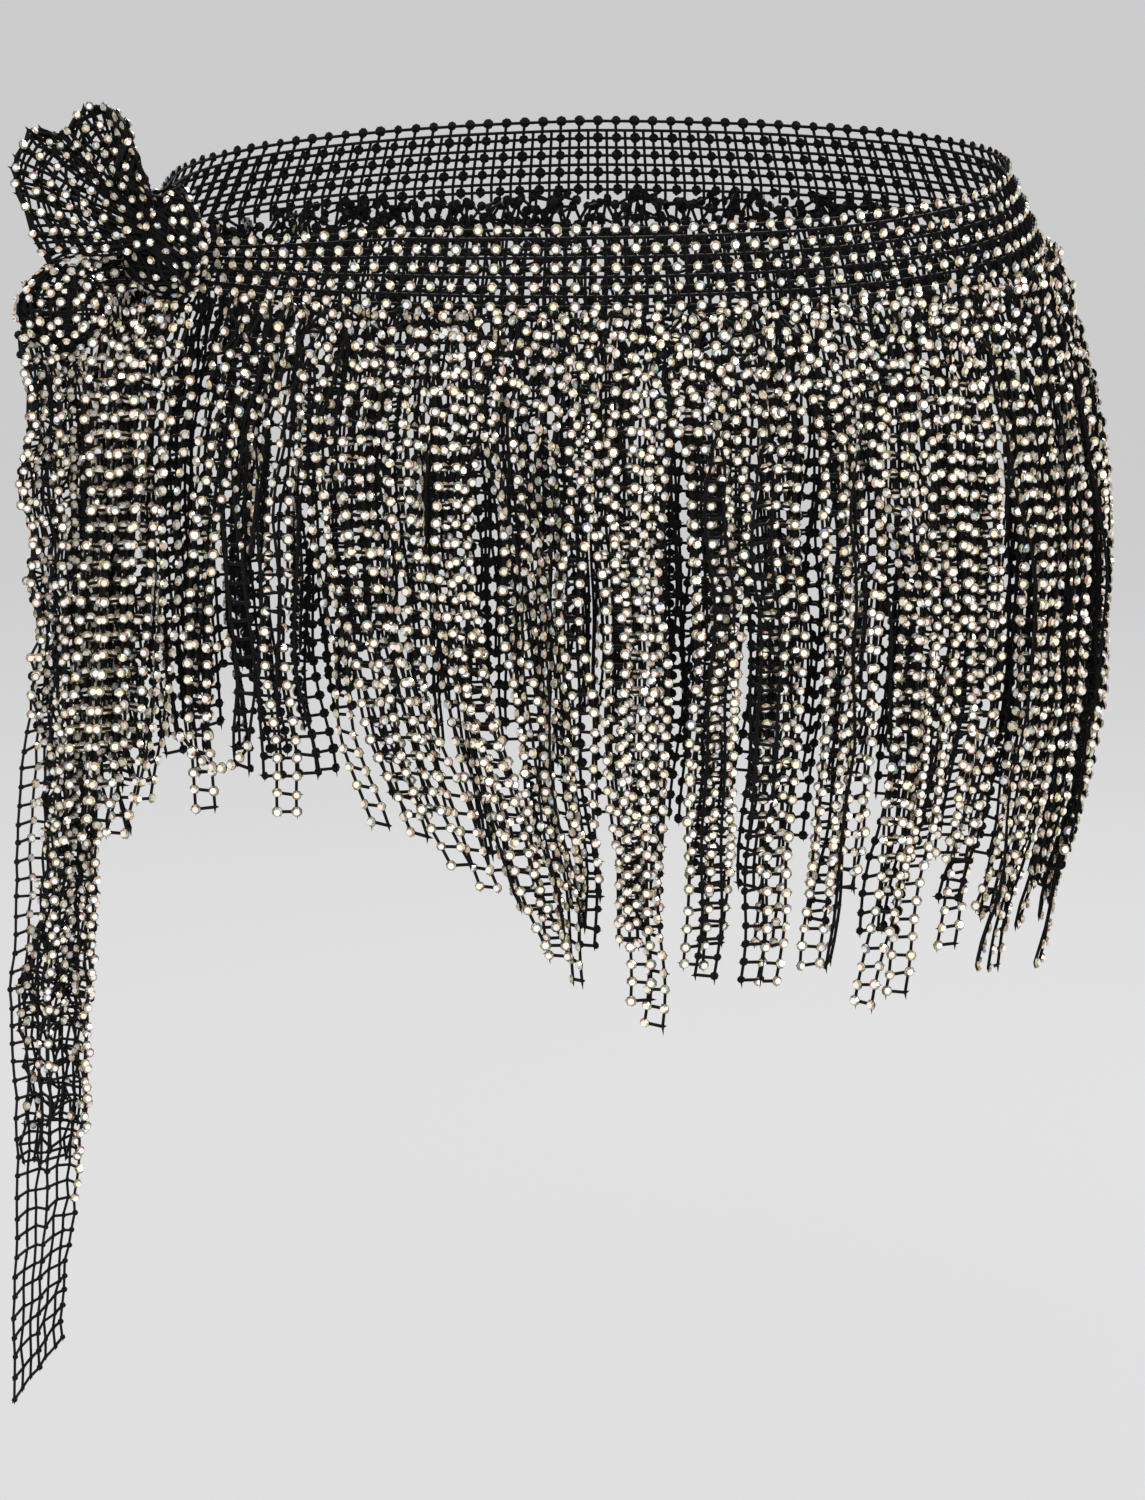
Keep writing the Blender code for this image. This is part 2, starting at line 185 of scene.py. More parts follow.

# %% [markdown]
# ## Finishes
#
# There are two: the black polyester yarn, and the stones. A yarn is two plies twisted together,
# so its gloss breaks up along it. That effect is a small node group. Its noise bumps the yarn
# and dims the colour where the bump is low: partly uneven tone, partly painted shade in the
# grooves between the plies. The yarn, the greyer yarn of the tail's reverse and the seats of
# the stones use it, each with its own values.

# %% A group for twisted yarn
YARN_SOCKETS = (
    ("Colour", "INPUT", "Color"),
    ("Ply scale", "INPUT", "Float"),
    ("Depth", "INPUT", "Float"),
    ("Colour", "OUTPUT", "Color"),
    ("Normal", "OUTPUT", "Vector"),
)
# The contrast is how far the noise dims the colour where the bump is low: uneven tone, and painted
# shade in the grooves between the plies.
PLY_DETAIL, PLY_TONE_AND_GROOVE_SHADE, PLY_HEIGHT = 3.0, 0.6, 0.0004


def yarn_group():
    """Colour and normal of twisted yarn, from its colour and the size of its plies. The colour is
    dimmed where the bump is low: uneven tone and painted shade in the grooves.
    """
    group = bpy.data.node_groups.new("twisted_yarn", "ShaderNodeTree")
    for name, way, kind in YARN_SOCKETS:
        group.interface.new_socket(name, in_out=way, socket_type=f"NodeSocket{kind}")
    make, link = group.nodes.new, group.links.new
    given, gives = make("NodeGroupInput"), make("NodeGroupOutput")
    place = make("ShaderNodeTexCoord")
    plies = make("ShaderNodeTexNoise")
    plies.inputs["Detail"].default_value = PLY_DETAIL
    link(place.outputs["Object"], plies.inputs["Vector"])
    link(given.outputs["Ply scale"], plies.inputs["Scale"])
    # Dims the colour where the bump is low: uneven tone, and painted shade in the grooves.
    tone_and_groove_shade = make("ShaderNodeMix")
    tone_and_groove_shade.data_type = "RGBA"
    tone_and_groove_shade.blend_type = "MULTIPLY"
    tone_and_groove_shade.inputs["Factor"].default_value = PLY_TONE_AND_GROOVE_SHADE
    link(given.outputs["Colour"], tone_and_groove_shade.inputs["A"])
    link(plies.outputs["Fac"], tone_and_groove_shade.inputs["B"])
    bump = make("ShaderNodeBump")
    bump.inputs["Distance"].default_value = PLY_HEIGHT
    link(given.outputs["Depth"], bump.inputs["Strength"])
    link(plies.outputs["Fac"], bump.inputs["Height"])
    link(tone_and_groove_shade.outputs["Result"], gives.inputs["Colour"])
    link(bump.outputs["Normal"], gives.inputs["Normal"])
    return group


TWISTED_YARN = yarn_group()
print("group:", TWISTED_YARN.name)

# %% The yarn and the stones


def set_sockets(node, values):
    for socket, value in values.items():
        node.inputs[socket].default_value = value


def principled(name, **values):
    """A new material, its shader and its node tree. values are the shader's own constants."""
    material = bpy.data.materials.new(name)
    material.use_nodes = True
    shader = material.node_tree.nodes["Principled BSDF"]
    set_sockets(shader, {socket.replace("_", " "): value for socket, value in values.items()})
    return material, shader, material.node_tree


def yarn_material(name, colour, roughness, ply_scale, depth):
    material, shader, tree = principled(
        name, Roughness=roughness, Specular_IOR_Level=0.1, Sheen_Weight=0.02
    )
    yarn = tree.nodes.new("ShaderNodeGroup")
    yarn.node_tree = TWISTED_YARN
    set_sockets(yarn, {"Colour": colour, "Ply scale": ply_scale, "Depth": depth})
    tree.links.new(yarn.outputs["Colour"], shader.inputs["Base Color"])
    tree.links.new(yarn.outputs["Normal"], shader.inputs["Normal"])
    return material


def stone_material(name):
    """Foiled glass. Each facet's colour is kept on the mesh, in a corner colour layer: the table's
    own pale colour, and painted reflections with painted glint colours on the facets round it.
    """
    material, shader, tree = principled(
        name, Roughness=0.16, Metallic=0.35, IOR=1.6, Coat_Weight=1.0, Coat_Roughness=0.03
    )
    # A colour layer on the mesh: the tables' own colour, and painted reflections and glint colours
    # on the facets round them.
    colour_and_painted_glints = tree.nodes.new("ShaderNodeVertexColor")
    colour_and_painted_glints.layer_name = "colour_and_painted_glints"
    tree.links.new(colour_and_painted_glints.outputs["Color"], shader.inputs["Base Color"])
    return material


YARN = yarn_material("black yarn", (0.0035, 0.003, 0.003, 1.0), 0.65, 2400.0, 0.5)
BARE_YARN = yarn_material("black yarn, reverse", (0.009, 0.0085, 0.009, 1.0), 0.7, 2400.0, 0.5)
SEAT = yarn_material("black stone seat", (0.0035, 0.003, 0.003, 1.0), 0.5, 1500.0, 0.2)
CRYSTAL = stone_material("foiled stone")
print("materials:", [m.name for m in bpy.data.materials])

# %% [markdown]
# ## Threads
#
# A thread is a run of short three-sided tubes. Three sides are enough for something a millimetre
# thick, and smooth shading rounds them. A cut end tapers to a point. All the tubes of one piece
# are worked out together as numpy arrays, because tens of thousands of separate curve objects
# would be very slow.

# %% Tubes from pairs of points
YARN_RADIUS = 0.68


def sideways(ways, steep):
    """A unit way across each way: level, or nearly along y for a way steeper than steep."""
    guide = np.where(np.abs(ways[:, 2:3]) > steep, [[1.0, 0.0, 0.0]], [[0.0, 0.0, 1.0]])
    return unit(np.cross(guide, ways))


def corners(pairs, radius):
    """The ends of each pair, and the offsets of three corners round it."""
    ends = np.array(pairs, float).reshape(-1, 2, 3)
    ways = unit(ends[:, 1] - ends[:, 0])
    side = -sideways(ways, 0.8)
    other = np.cross(ways, side)
    turns = np.radians([90.0, 210.0, 330.0])
    return ends, [radius * (math.cos(t) * side + math.sin(t) * other) for t in turns]


def new_piece(name, points, faces, material, smooth=True):
    mesh = bpy.data.meshes.new(name)
    mesh.from_pydata(points * MM, [], faces)
    mesh.materials.append(material)
    if smooth:
        mesh.shade_smooth()
    thing = bpy.data.objects.new(name, mesh)
    bpy.context.scene.collection.objects.link(thing)
    return thing


def thread_piece(name, runs, material, radius=YARN_RADIUS, tapers=()):
    """One mesh of tubes. runs holds (start, end) pairs, and tapers those that end in a point."""
    ends, rings = corners(runs, radius)
    points = np.concatenate([ends[:, 0] + r for r in rings] + [ends[:, 1] + r for r in rings])
    numbers, faces = np.arange(len(ends)), []
    for k in range(3):
        n = (k + 1) % 3
        sides = [numbers + i * len(ends) for i in (k, n, 3 + n, 3 + k)]
        faces += np.stack(sides, axis=1).tolist()
    if tapers:
        ends, rings = corners(tapers, radius)
        numbers = len(points) + np.arange(len(ends))
        points = np.concatenate([points] + [ends[:, 0] + r for r in rings] + [ends[:, 1]])
        for k in range(3):
            sides = [numbers + i * len(ends) for i in (k, (k + 1) % 3, 3)]
            faces += np.stack(sides, axis=1).tolist()
    return new_piece(name, points, faces, material)


def hold(*pieces):
    """Fixes each piece of the (piece, slot) pairs to the one body. The slot is not used."""
    for piece, slot in pieces:
        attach(piece, "root")


print("yarn:", 2 * YARN_RADIUS, "mm thick")

# %% [markdown]
# ## Stones
#
# The stones are flat-backed glass in a thin black seat: a flat table on top, eight sloping
# facets round it, and a closed back. The foil behind real ones throws the light straight back,
# so the table looks white from nearly everywhere. The facets round it carry painted
# reflections: each is dimmed and painted with a glint colour, mostly gold, bronze or olive.
# Each facet's colour is stored on the mesh, which costs nothing to render. A stone on
# reversed net shows only its seat, which is drawn a little smaller.

# %% Stones on knots
STONE_RADIUS, REVERSED_RADIUS, STONE_LIFT = 1.76, 1.4, 0.5
STONE_TILT, STONE_SPREAD = 0.12, 0.05
SIDES = 8
TABLE_SHARE, TABLE_RISE, GIRDLE_RISE = 0.62, 0.6, 0.16
SEAT_SHARE, SEAT_DEPTH = 1.06, 0.3
TABLE_TINTS = (
    ("name", "red", "green", "blue", "share"),
    ("cream", 1.0, 0.92, 0.83, 0.5),
    ("silver", 0.98, 0.94, 0.91, 0.28),
    ("cool", 0.9, 0.94, 1.0, 0.1),
    ("straw", 1.0, 0.93, 0.68, 0.08),
    ("blush", 1.0, 0.84, 0.8, 0.04),
)
# Painted glints: the colours painted on the facets round the table, standing for their reflections.
PAINTED_GLINT_TINTS = (
    ("name", "red", "green", "blue", "share"),
    ("gold", 1.0, 0.76, 0.42, 0.3),
    ("bronze", 0.74, 0.48, 0.28, 0.2),
    ("olive", 0.72, 0.74, 0.36, 0.16),
    ("rose", 0.92, 0.5, 0.42, 0.1),
    ("teal", 0.4, 0.72, 0.64, 0.08),
    ("blue", 0.42, 0.55, 0.9, 0.05),
    ("white", 1.0, 0.95, 0.9, 0.11),
)
# The first range dims the facets round the table, for their painted reflections; the second is the
# tables' own brightness, at random.
PAINTED_FACET_LIGHT, TABLE_LIGHT = (0.15, 0.8), (0.86, 1.0)


def stone_shape():
    """Points and triangles of a stone of radius 1 in its seat, the table towards +Z."""
    turns = 2.0 * np.pi * np.arange(SIDES) / SIDES
    ring = np.stack([np.cos(turns), np.sin(turns), np.zeros(SIDES)], axis=1)
    table = ring * TABLE_SHARE + [0.0, 0.0, TABLE_RISE]
    girdle = ring + [0.0, 0.0, GIRDLE_RISE]
    seat = ring * SEAT_SHARE
    centres = [[0.0, 0.0, GIRDLE_RISE / 2.0], [0.0, 0.0, -SEAT_DEPTH]]
    faces = [(0, k, k + 1) for k in range(1, SIDES - 1)]
    for k in range(SIDES):
        n = (k + 1) % SIDES
        faces += [(k, SIDES + k, SIDES + n), (k, SIDES + n, n)]
    front = len(faces)
    for k in range(SIDES):
        n = (k + 1) % SIDES
        rim, following, dish, back = 2 * SIDES + k, 2 * SIDES + n, 3 * SIDES, 3 * SIDES + 1
        faces += [(rim, following, dish), (following, rim, back)]
    return np.concatenate([table, girdle, seat, centres]), np.array(faces), front


STONE_POINTS, STONE_FACES, STONE_FRONT = stone_shape()


def turned_about(ways, chance):
    """Two ways across each stone, at right angles, turned by chance."""
    side = sideways(ways, 0.9)
    spin = chance.uniform(0.0, 2.0 * np.pi, (len(ways), 1))
    one = np.cos(spin) * side + np.sin(spin) * np.cross(ways, side)
    return one, np.cross(ways, one)


def drawn(rows, shape, chance):
    """Colours drawn from a table by their shares."""
    colours = np.array([row[1:4] for row in rows[1:]])
    shares = np.array(column(rows, "share"))
    return colours[chance.choice(len(colours), shape, p=shares / shares.sum())]


def facet_colours_and_painted_glints(count, chance):
    """The colour of each facet: the stone's own near-white on the table, and round it painted
    reflections, dimmed and with stronger glint colours.
    """
    facets = drawn(PAINTED_GLINT_TINTS, (count, len(STONE_FACES)), chance)
    facets = facets * chance.uniform(*PAINTED_FACET_LIGHT, (count, len(STONE_FACES), 1))
    tables = drawn(TABLE_TINTS, (count, 1), chance) * chance.uniform(*TABLE_LIGHT, (count, 1, 1))
    facets[:, : SIDES - 2] = tables
    return facets


def stone_piece(name, places, ways, seed, radius=STONE_RADIUS):
    """One mesh of stones in black seats, each facing its own way. radius: one, or one for each."""
    chance = np.random.default_rng(seed)
    places, ways = np.array(places, float), np.array(ways, float)
    count = len(places)
    ways = unit(ways + chance.normal(0.0, STONE_TILT, (count, 3)))
    one, two = turned_about(ways, chance)
    size = np.reshape(radius, (-1, 1, 1)) * chance.normal(1.0, STONE_SPREAD, (count, 1, 1))
    wide, deep, high = (STONE_POINTS[None, :, k : k + 1] for k in range(3))
    shape = wide * one[:, None] + deep * two[:, None] + high * ways[:, None]
    points = places[:, None] + size * shape
    faces = STONE_FACES[None] + (np.arange(count) * len(STONE_POINTS))[:, None, None]
    flat_faces = faces.reshape(-1, 3).tolist()
    thing = new_piece(name, points.reshape(-1, 3), flat_faces, CRYSTAL, smooth=False)
    mesh = thing.data
    mesh.materials.append(SEAT)
    slots = np.zeros((count, len(STONE_FACES)), np.int32)
    slots[:, STONE_FRONT:] = 1
    mesh.polygons.foreach_set("material_index", slots.ravel())
    # Each facet's colour: the table's own, or a painted reflection with a glint colour round it.
    colours = np.ones((count, len(STONE_FACES), 3, 4), np.float32)
    colours[..., :3] = facet_colours_and_painted_glints(count, chance)[:, :, None]
    layer = mesh.color_attributes.new("colour_and_painted_glints", "FLOAT_COLOR", "CORNER")
    layer.data.foreach_set("color", colours.ravel())
    return thing


def lifted(knots, ways):
    """Where the stones of some knots lie, a little out from the net."""
    return np.array(knots) + STONE_LIFT * np.array(ways)


def spaced(places, ways, least):
    """Leaves out each stone that would lie closer than least to one already kept."""
    kept = []
    for number, place in enumerate(places):
        if all(np.linalg.norm(place - places[k]) >= least for k in kept):
            kept.append(number)
    return [places[k] for k in kept], [ways[k] for k in kept]


print("triangles in a stone:", len(STONE_FACES))

# %% [markdown]
# ## The band
#
# The band is the uncut edge of the net, five knots deep. It is laid as a grid round the figure:
# one column of knots each seven millimetres, and five rows. Near the knot the rows close up and
# ripple, as net does when it is drawn together. Behind it lies a plain net, half a cell aside,
# to which the inner rows of the fringe are sewn. It makes the band look dark between its stones.

# %% Lay the band's grid
CELL_WIDE, CELL_HIGH = 7.0, 6.4
BAND_KNOTS = 5
BAND_OUT, HEADER_OUT = 0.8, -0.7
EDGE_STUB = 2.0


def band_place(distance, row, out=BAND_OUT):
    """A knot of the band: how far round, and how many rows up from the middle one."""
    angle = angle_at(distance)
    width = look_up(BAND_RUN, "width", angle)
    gather = look_up(BAND_RUN, "gather", angle)
    lift = row * CELL_HIGH * width / FULL_WIDTH
    wave = gather * math.sin(2.0 * math.pi * GATHER_WAVES * (lift / width + 0.5))
    height = look_up(BAND_RUN, "middle", angle) + lift
    return hip_place(angle, height, out + wave)


def grid_threads(grid):
    """The threads between the neighbouring knots of a grid, both ways."""
    runs = [pair for line in grid for pair in zip(line, line[1:])]
    for one, other in zip(grid, grid[1:]):
        runs += list(zip(one, other))
    return runs


def lay_band(start, end):
    """Threads, edge stubs and knots of one stretch of the band."""
    first, last = sorted((distance_at(start), distance_at(end)))
    columns = round((last - first) / CELL_WIDE)
    distances = np.linspace(first, last, columns + 1)
    rows = np.arange(BAND_KNOTS) - (BAND_KNOTS - 1) / 2.0
    grid = [[band_place(d, r) for r in rows] for d in distances]
    places = [[place for place, _ in line] for line in grid]
    knots, ways = zip(*[pair for line in grid for pair in line])
    runs, stubs = grid_threads(places), []
    for k, (under, *_, top) in enumerate(places):
        stubs.append((top, top + (0.4 * jitter(k, "edge"), 0.0, EDGE_STUB)))
        runs.append((under, under - (0.0, 0.0, EDGE_STUB)))
    return runs, stubs, knots, ways, last - first


def lay_header(start, end):
    """Threads of the plain net behind the band, half a cell aside and half a cell up."""
    first, last = sorted((distance_at(start), distance_at(end)))
    distances = np.linspace(first, last, 2 * round((last - first) / CELL_WIDE) + 1)[1::2]
    rows = np.arange(BAND_KNOTS - 1) - BAND_KNOTS / 2.0 + 1.0
    grid = [[band_place(d, r, HEADER_OUT)[0] for r in rows] for d in distances]
    return grid_threads(grid) + [(line[0], line[0] - (0.0, 0.0, CELL_HIGH)) for line in grid]


print("cell:", CELL_WIDE, "by", CELL_HIGH, "mm")

# %% Make the band's two stretches
BAND_SPANS = {"front": (148.0, 0.1), "back": (-0.1, -208.0)}
trims = {"front": [], "back": []}
for number, (side, span) in enumerate(BAND_SPANS.items()):
    runs, stubs, knots, ways, long = lay_band(*span)
    net = thread_piece(f"band_net_{side}", runs, YARN, tapers=stubs)
    seed = SEEDS["band"] + number
    stones = stone_piece(f"band_stones_{side}", lifted(knots, ways), ways, seed)
    header = thread_piece(f"band_header_{side}_net", lay_header(*span), YARN)
    hold((net, "studded_net"), (header, "studded_net"), (stones, "crystal"))
    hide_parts(f"band_{side}")
    trims[side] += [stones, header]
    print(side, "stretch:", round(long), "mm,", len(knots), "stones")

# %% [markdown]
# ## The fringe
#
# Each strip is a ladder: two upright threads, a rung at each row, a stone on each knot, and the
# cut ends of threads along both sides. The strips hang in four layers, and those left of the
# middle swing across to the right. Two layers take the places of the solids, and two fill the
# gaps between them. In front, the fourth and the left of the third hang with their stones
# inwards, so they show dark between the others. Tables give where each strip hangs and how long
# it is. Then each twists and sways, most of all just under the band, where they are pushed
# together.

# %% Where the strips hang
STRIP_PITCH, STRIP_THICKNESS = 14.0, 1.5
BACKING_END, SEAM = 3.9, 0.35
FRINGE_LAYERS = (
    ("name", "root_out", "hang_out", "swing_share", "pitches_on", "shorter"),
    ("inner", 0.0, 1.2, 0.92, 0.0, 10.0),
    ("outer", 2.0, 5.0, 1.0, 0.5, 0.0),
)
FRINGE_SPANS = {"front": (139.5, 0.15), "back": (-0.15, -205.0)}
HANG_DROP, SWING_DROP = 60.0, 200.0
STRIP_LENGTHS = (
    ("from_angle", "length", "uneven"),
    (150.0, 180.0, 4.0),
    (131.5, 92.0, 6.0),
    (126.5, 182.0, 4.0),
    (121.0, 187.0, 7.0),
    (112.0, 205.0, 12.0),
    (100.0, 217.0, 24.0),
    (88.0, 227.0, 15.0),
    (62.0, 217.0, 24.0),
    (20.0, 222.0, 24.0),
    (-10.0, 212.0, 22.0),
    (-95.0, 188.0, 14.0),
    (-150.0, 180.0, 12.0),
)
STRIP_SWING = (
    ("root_x", "swing"),
    (-150.0, -8.0),
    (-92.0, 0.0),
    (-84.0, 42.0),
    (-40.0, 29.0),
    (-34.0, 15.0),
    (30.0, 0.0),
    (120.0, -1.0),
    (160.0, 0.0),
)


def band_bottom(angle):
    return look_up(BAND_RUN, "middle", angle) - look_up(BAND_RUN, "width", angle) / 2.0


def strip_roots(layer, start, end):
    """How far along the band the strips of one layer hang between two angles."""
    first, last = distance_at(start) + BACKING_END, distance_at(end) - BACKING_END
    gaps = round((last - first - STRIP_PITCH / 2.0) / STRIP_PITCH)
    pitch = (last - first) / (gaps + 0.5)
    pitches_on = layer[FRINGE_LAYERS[0].index("pitches_on")]
    return [first + pitch * (k + pitches_on) for k in range(gaps + 1)]


def strip_length(angle, number):
    _, length, uneven = [row for row in STRIP_LENGTHS[1:] if angle <= row[0]][-1]
    return length + uneven * jitter(number, "length")


all_round = FRINGE_SPANS["front"][0], FRINGE_SPANS["back"][1]
print("strips in a layer:", len(strip_roots(FRINGE_LAYERS[1], *all_round)))

# %% [markdown]
# ## Locks and partings
#
# Strips do not hang evenly. They cling together in locks, and between two locks the fringe parts
# and shows its dark inside. In one lock the rows of stones lie level, on a slight slope, because
# its strips were next to each other in the net. So a table says where the fringe parts in front,
# and round the back the partings follow at uneven distances.

# %% Where the fringe parts
PARTINGS = (
    ("root_x", "push", "reach", "from_drop"),
    (-146.0, 4.0, 10.0, 40.0),
    (-110.5, 7.5, 12.0, 60.0),
    (-88.0, 5.0, 11.0, 30.0),
    (-60.0, 4.5, 11.0, 90.0),
    (-35.0, 9.0, 15.0, 25.0),
    (-1.0, 6.0, 12.0, 50.0),
    (26.0, 7.5, 14.0, 15.0),
    (45.0, 5.0, 10.0, 80.0),
    (66.0, 7.5, 13.0, 5.0),
    (88.0, 6.0, 12.0, 70.0),
    (108.0, 5.0, 11.0, 100.0),
    (126.0, 7.5, 13.0, 50.0),
    (150.0, 6.0, 12.0, 50.0),
)
PARTING_EVERY, PARTING_OPENS = 31.0, 45.0
BACK_SPACING, BACK_PUSH, BACK_REACH, BACK_FROM_DROP = (1.0, 0.35), (4.5, 1.5), 12.0, (55.0, 35.0)
LOCK_LAG, LOCK_SLOPE = 0.5, 0.035
FRONT_HALF = ARC_ANGLES > 2.0


def distance_at_x(x):
    """How far round the band a point of the front lies, from its place across."""
    return float(np.interp(x, ARC_RING[FRONT_HALF, 0], ARC_LENGTHS[FRONT_HALF]))


def strayed(size, number, channel):
    """A size that strays: its middle, and how far it goes to both sides."""
    return size[0] + size[1] * jitter(number, channel)


def lay_partings():
    places = [(distance_at_x(row[0]), *row[1:]) for row in PARTINGS[1:]]
    while places[-1][0] < ARC_LENGTHS[-1]:
        number = len(places)
        onward = places[-1][0] + PARTING_EVERY * strayed(BACK_SPACING, number, "parting")
        push = strayed(BACK_PUSH, number, "push")
        start = strayed(BACK_FROM_DROP, number, "start")
        places.append((onward, push, BACK_REACH, start))
    return places


PARTING_PLACES = lay_partings()


def parted(root, drop):
    """How far the partings near a strip have pushed it aside at this drop."""
    moved = 0.0
    for place, push, reach, start in PARTING_PLACES:
        aside = root - place
        if abs(aside) < reach:
            opened = eased((drop - start) / PARTING_OPENS)
            moved += math.copysign(push * (1.0 - abs(aside) / reach) ** 2, aside) * opened
    return moved


def row_lag(root):
    """How far down the rows of a strip start, in rows: level in a lock, on a slight slope."""
    lock = sum(root > place for place, *_ in PARTING_PLACES)
    start = PARTING_PLACES[max(lock - 1, 0)][0]
    lag = LOCK_LAG * jitter(lock, "lag") + LOCK_SLOPE * jitter(lock, "slope") * (root - start)
    return lag - round(lag)


print("partings:", len(PARTING_PLACES))

# %% A ladder down a line
LADDER_HALF, ROW_STEP = 3.3, 6.25
ROOT_JUMBLE, TWISTED_FROM = 26.0, 70.0
SIDE_STUB, END_STUB = 1.9, 2.6
TURNED_OVER, LAST_STONE_STAYS = 0.9, 0.1
STRIP_WAVES = {
    "turn": (16.0, 150.0),
    "root turn": (70.0, 31.0),
    "aside": (1.6, 95.0),
    "root aside": (3.2, 27.0),
    "out": (0.9, 80.0),
    "root out": (1.3, 22.0),
}


def wave(number, name, drop):
    """One of the slow waves of a strip, of the size and the length that the table gives."""
    size, wavelength = STRIP_WAVES[name]
    return size * sway(number, name, drop, wavelength)


def ladder(line, number, length, lag):
    """Threads, stubs, knots and ways of one ladder. line(drop, side, out) gives places on it."""
    runs, stubs, knots, ways = [], [], [], []
    lean = jitter(number, "lean")
    over = 180.0 if jitter(number, "turned over") > TURNED_OVER else 0.0
    set_turn = 75.0 * lean * abs(lean) ** 1.5 + over
    stretch, phase = 1.0 + 0.008 * jitter(number, "stretch"), lag + 0.12 * jitter(number, "phase")
    rows = max(3, int(length / ROW_STEP))
    before = None
    for k in range(rows + 1):
        drop = max((k + phase) * ROW_STEP * stretch, 0.0)
        jumble = math.exp(-drop / ROOT_JUMBLE)
        turn = (set_turn + wave(number, "turn", drop)) * eased(drop / TWISTED_FROM)
        turn = math.radians(turn + jumble * wave(number, "root turn", drop))
        side = wave(number, "aside", drop) + jumble * wave(number, "root aside", drop)
        out = wave(number, "out", drop) + jumble * wave(number, "root out", drop)
        place, along, way = line(drop, side, out)
        across = math.cos(turn) * along + math.sin(turn) * way
        facing = -math.sin(turn) * along + math.cos(turn) * way
        tilt = (0.5 + 1.6 * jumble) * jitter(number * 41 + k, "tilt")
        pair = [place - LADDER_HALF * across, place + LADDER_HALF * across]
        pair = [p + (0.0, 0.0, tilt * s) for p, s in zip(pair, (-1.0, 1.0))]
        runs.append((pair[0], pair[1]))
        for s, (knot, sign) in enumerate(zip(pair, (-1.0, 1.0))):
            droop = 0.5 * jitter(number * 37 + k, "droop", s)
            reach = SIDE_STUB * (1.0 + 0.35 * jitter(number * 31 + k, "reach", s))
            stubs.append((knot, knot + sign * reach * across + (0.0, 0.0, droop)))
            if before is not None:
                runs.append((before[s], knot))
            knots.append(knot)
            ways.append(facing)
        before = pair
    for s, knot in enumerate(before):
        aside, end = 0.3 * jitter(number, "end aside", s), END_STUB + jitter(number, "end drop", s)
        stubs.append((knot, knot - (aside, 0.0, end)))
    if jitter(number, "last stone") > LAST_STONE_STAYS:
        knots.pop()
        ways.pop()
    return runs, stubs, knots, ways


print("rows on a 210 mm strip:", int(210.0 / ROW_STEP))

# %% Hang one layer of strips


def strip_line(root, layer):
    """A function that gives places down one strip of the fringe."""
    _, root_out, hang_out, share, *_ = layer
    root_angle = angle_at(root)
    root_x = hip_place(root_angle, RING_HEIGHT, 0.0)[0][0]
    swing = share * look_up(STRIP_SWING, "swing", root_x) if root_angle > 0.0 else 0.0
    top = band_bottom(root_angle) - EDGE_STUB / 2.0

    def line(drop, side, out):
        angle = angle_at(root + side + swing * (drop / SWING_DROP) ** 2 + parted(root, drop))
        away = root_out + (hang_out - root_out) * eased(drop / HANG_DROP) + STRIP_THICKNESS / 2.0
        place, way = hip_place(angle, top - drop, away + out)
        along = np.cross((0.0, 0.0, 1.0), way)
        return place, along, way

    return line


def joined(ladders):
    """The threads, stubs, knots and ways of some ladders, each in one list."""
    return [[item for made in ladders for item in made[k]] for k in range(4)]


def hang_layer(name, layer, span, base, reversed_before):
    """Hangs one layer. The net is reversed, with its stones inwards, up to a distance round."""
    shorter = layer[FRINGE_LAYERS[0].index("shorter")]
    ladders = []
    for number, root in enumerate(strip_roots(layer, *span), base):
        length = strip_length(angle_at(root), number) - shorter
        made = ladder(strip_line(root, layer), number, length, row_lag(root))
        if root < reversed_before:
            made = (*made[:3], [-way for way in made[3]])
        ladders.append(made)
    runs, stubs, knots, ways = joined(ladders)
    net = thread_piece(f"{name}_threads", runs, YARN, tapers=stubs)
    inwards = (np.array(knots) * np.array(ways))[:, :2].sum(axis=1) < 0.0
    radius = np.where(inwards, REVERSED_RADIUS, STONE_RADIUS)
    seed = SEEDS["fringe"] + base
    stones = stone_piece(f"{name}_stones", lifted(knots, ways), ways, seed, radius)
    hold((net, "fringe_net"), (stones, "crystal"))
    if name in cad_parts:
        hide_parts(name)
    print(name, len(ladders), "strips,", len(knots), "stones")
    return net, stones


# %% Hang the fringe
MORE_LAYERS = (
    ("third", 1.0, 2.8, 0.96, 0.77, 20.0),
    ("fourth", 0.0, 0.2, 0.75, 0.27, 22.0),
)
REVERSED_BEFORE = {"third": distance_at_x(-78.0), "fourth": distance_at(0.0)}
NUMBERS_A_LAYER = 100
base = 0
for side, span in FRINGE_SPANS.items():
    for layer in FRINGE_LAYERS[1:] + MORE_LAYERS:
        reverse = REVERSED_BEFORE.get(layer[0], 0.0)
        trims[side] += hang_layer(f"fringe_{side}_{layer[0]}", layer, span, base, reverse)
        base += NUMBERS_A_LAYER

# %% Two loose loops between strips
LOOSE_LOOPS = (
    ("from_x", "to_x", "height", "sag", "knots"),
    (-122.5, -102.5, -164.0, 9.0, 7),
    (-120.0, -107.0, -129.0, 3.0, 4),
)
LOOP_OUT = 7.0


def hang_loop(from_x, to_x, height, sag, knots):
    """A single thread with stones that was left whole between two strips, and sags."""
    chain, outward = [], []
    for k in range(knots + 1):
        share = k / knots
        angle = angle_at(distance_at_x(from_x + (to_x - from_x) * share))
        place, way = hip_place(angle, height - 4.0 * sag * share * (1.0 - share), LOOP_OUT)
        chain.append(place)
        outward.append(way)
    return list(zip(chain, chain[1:])), chain, outward


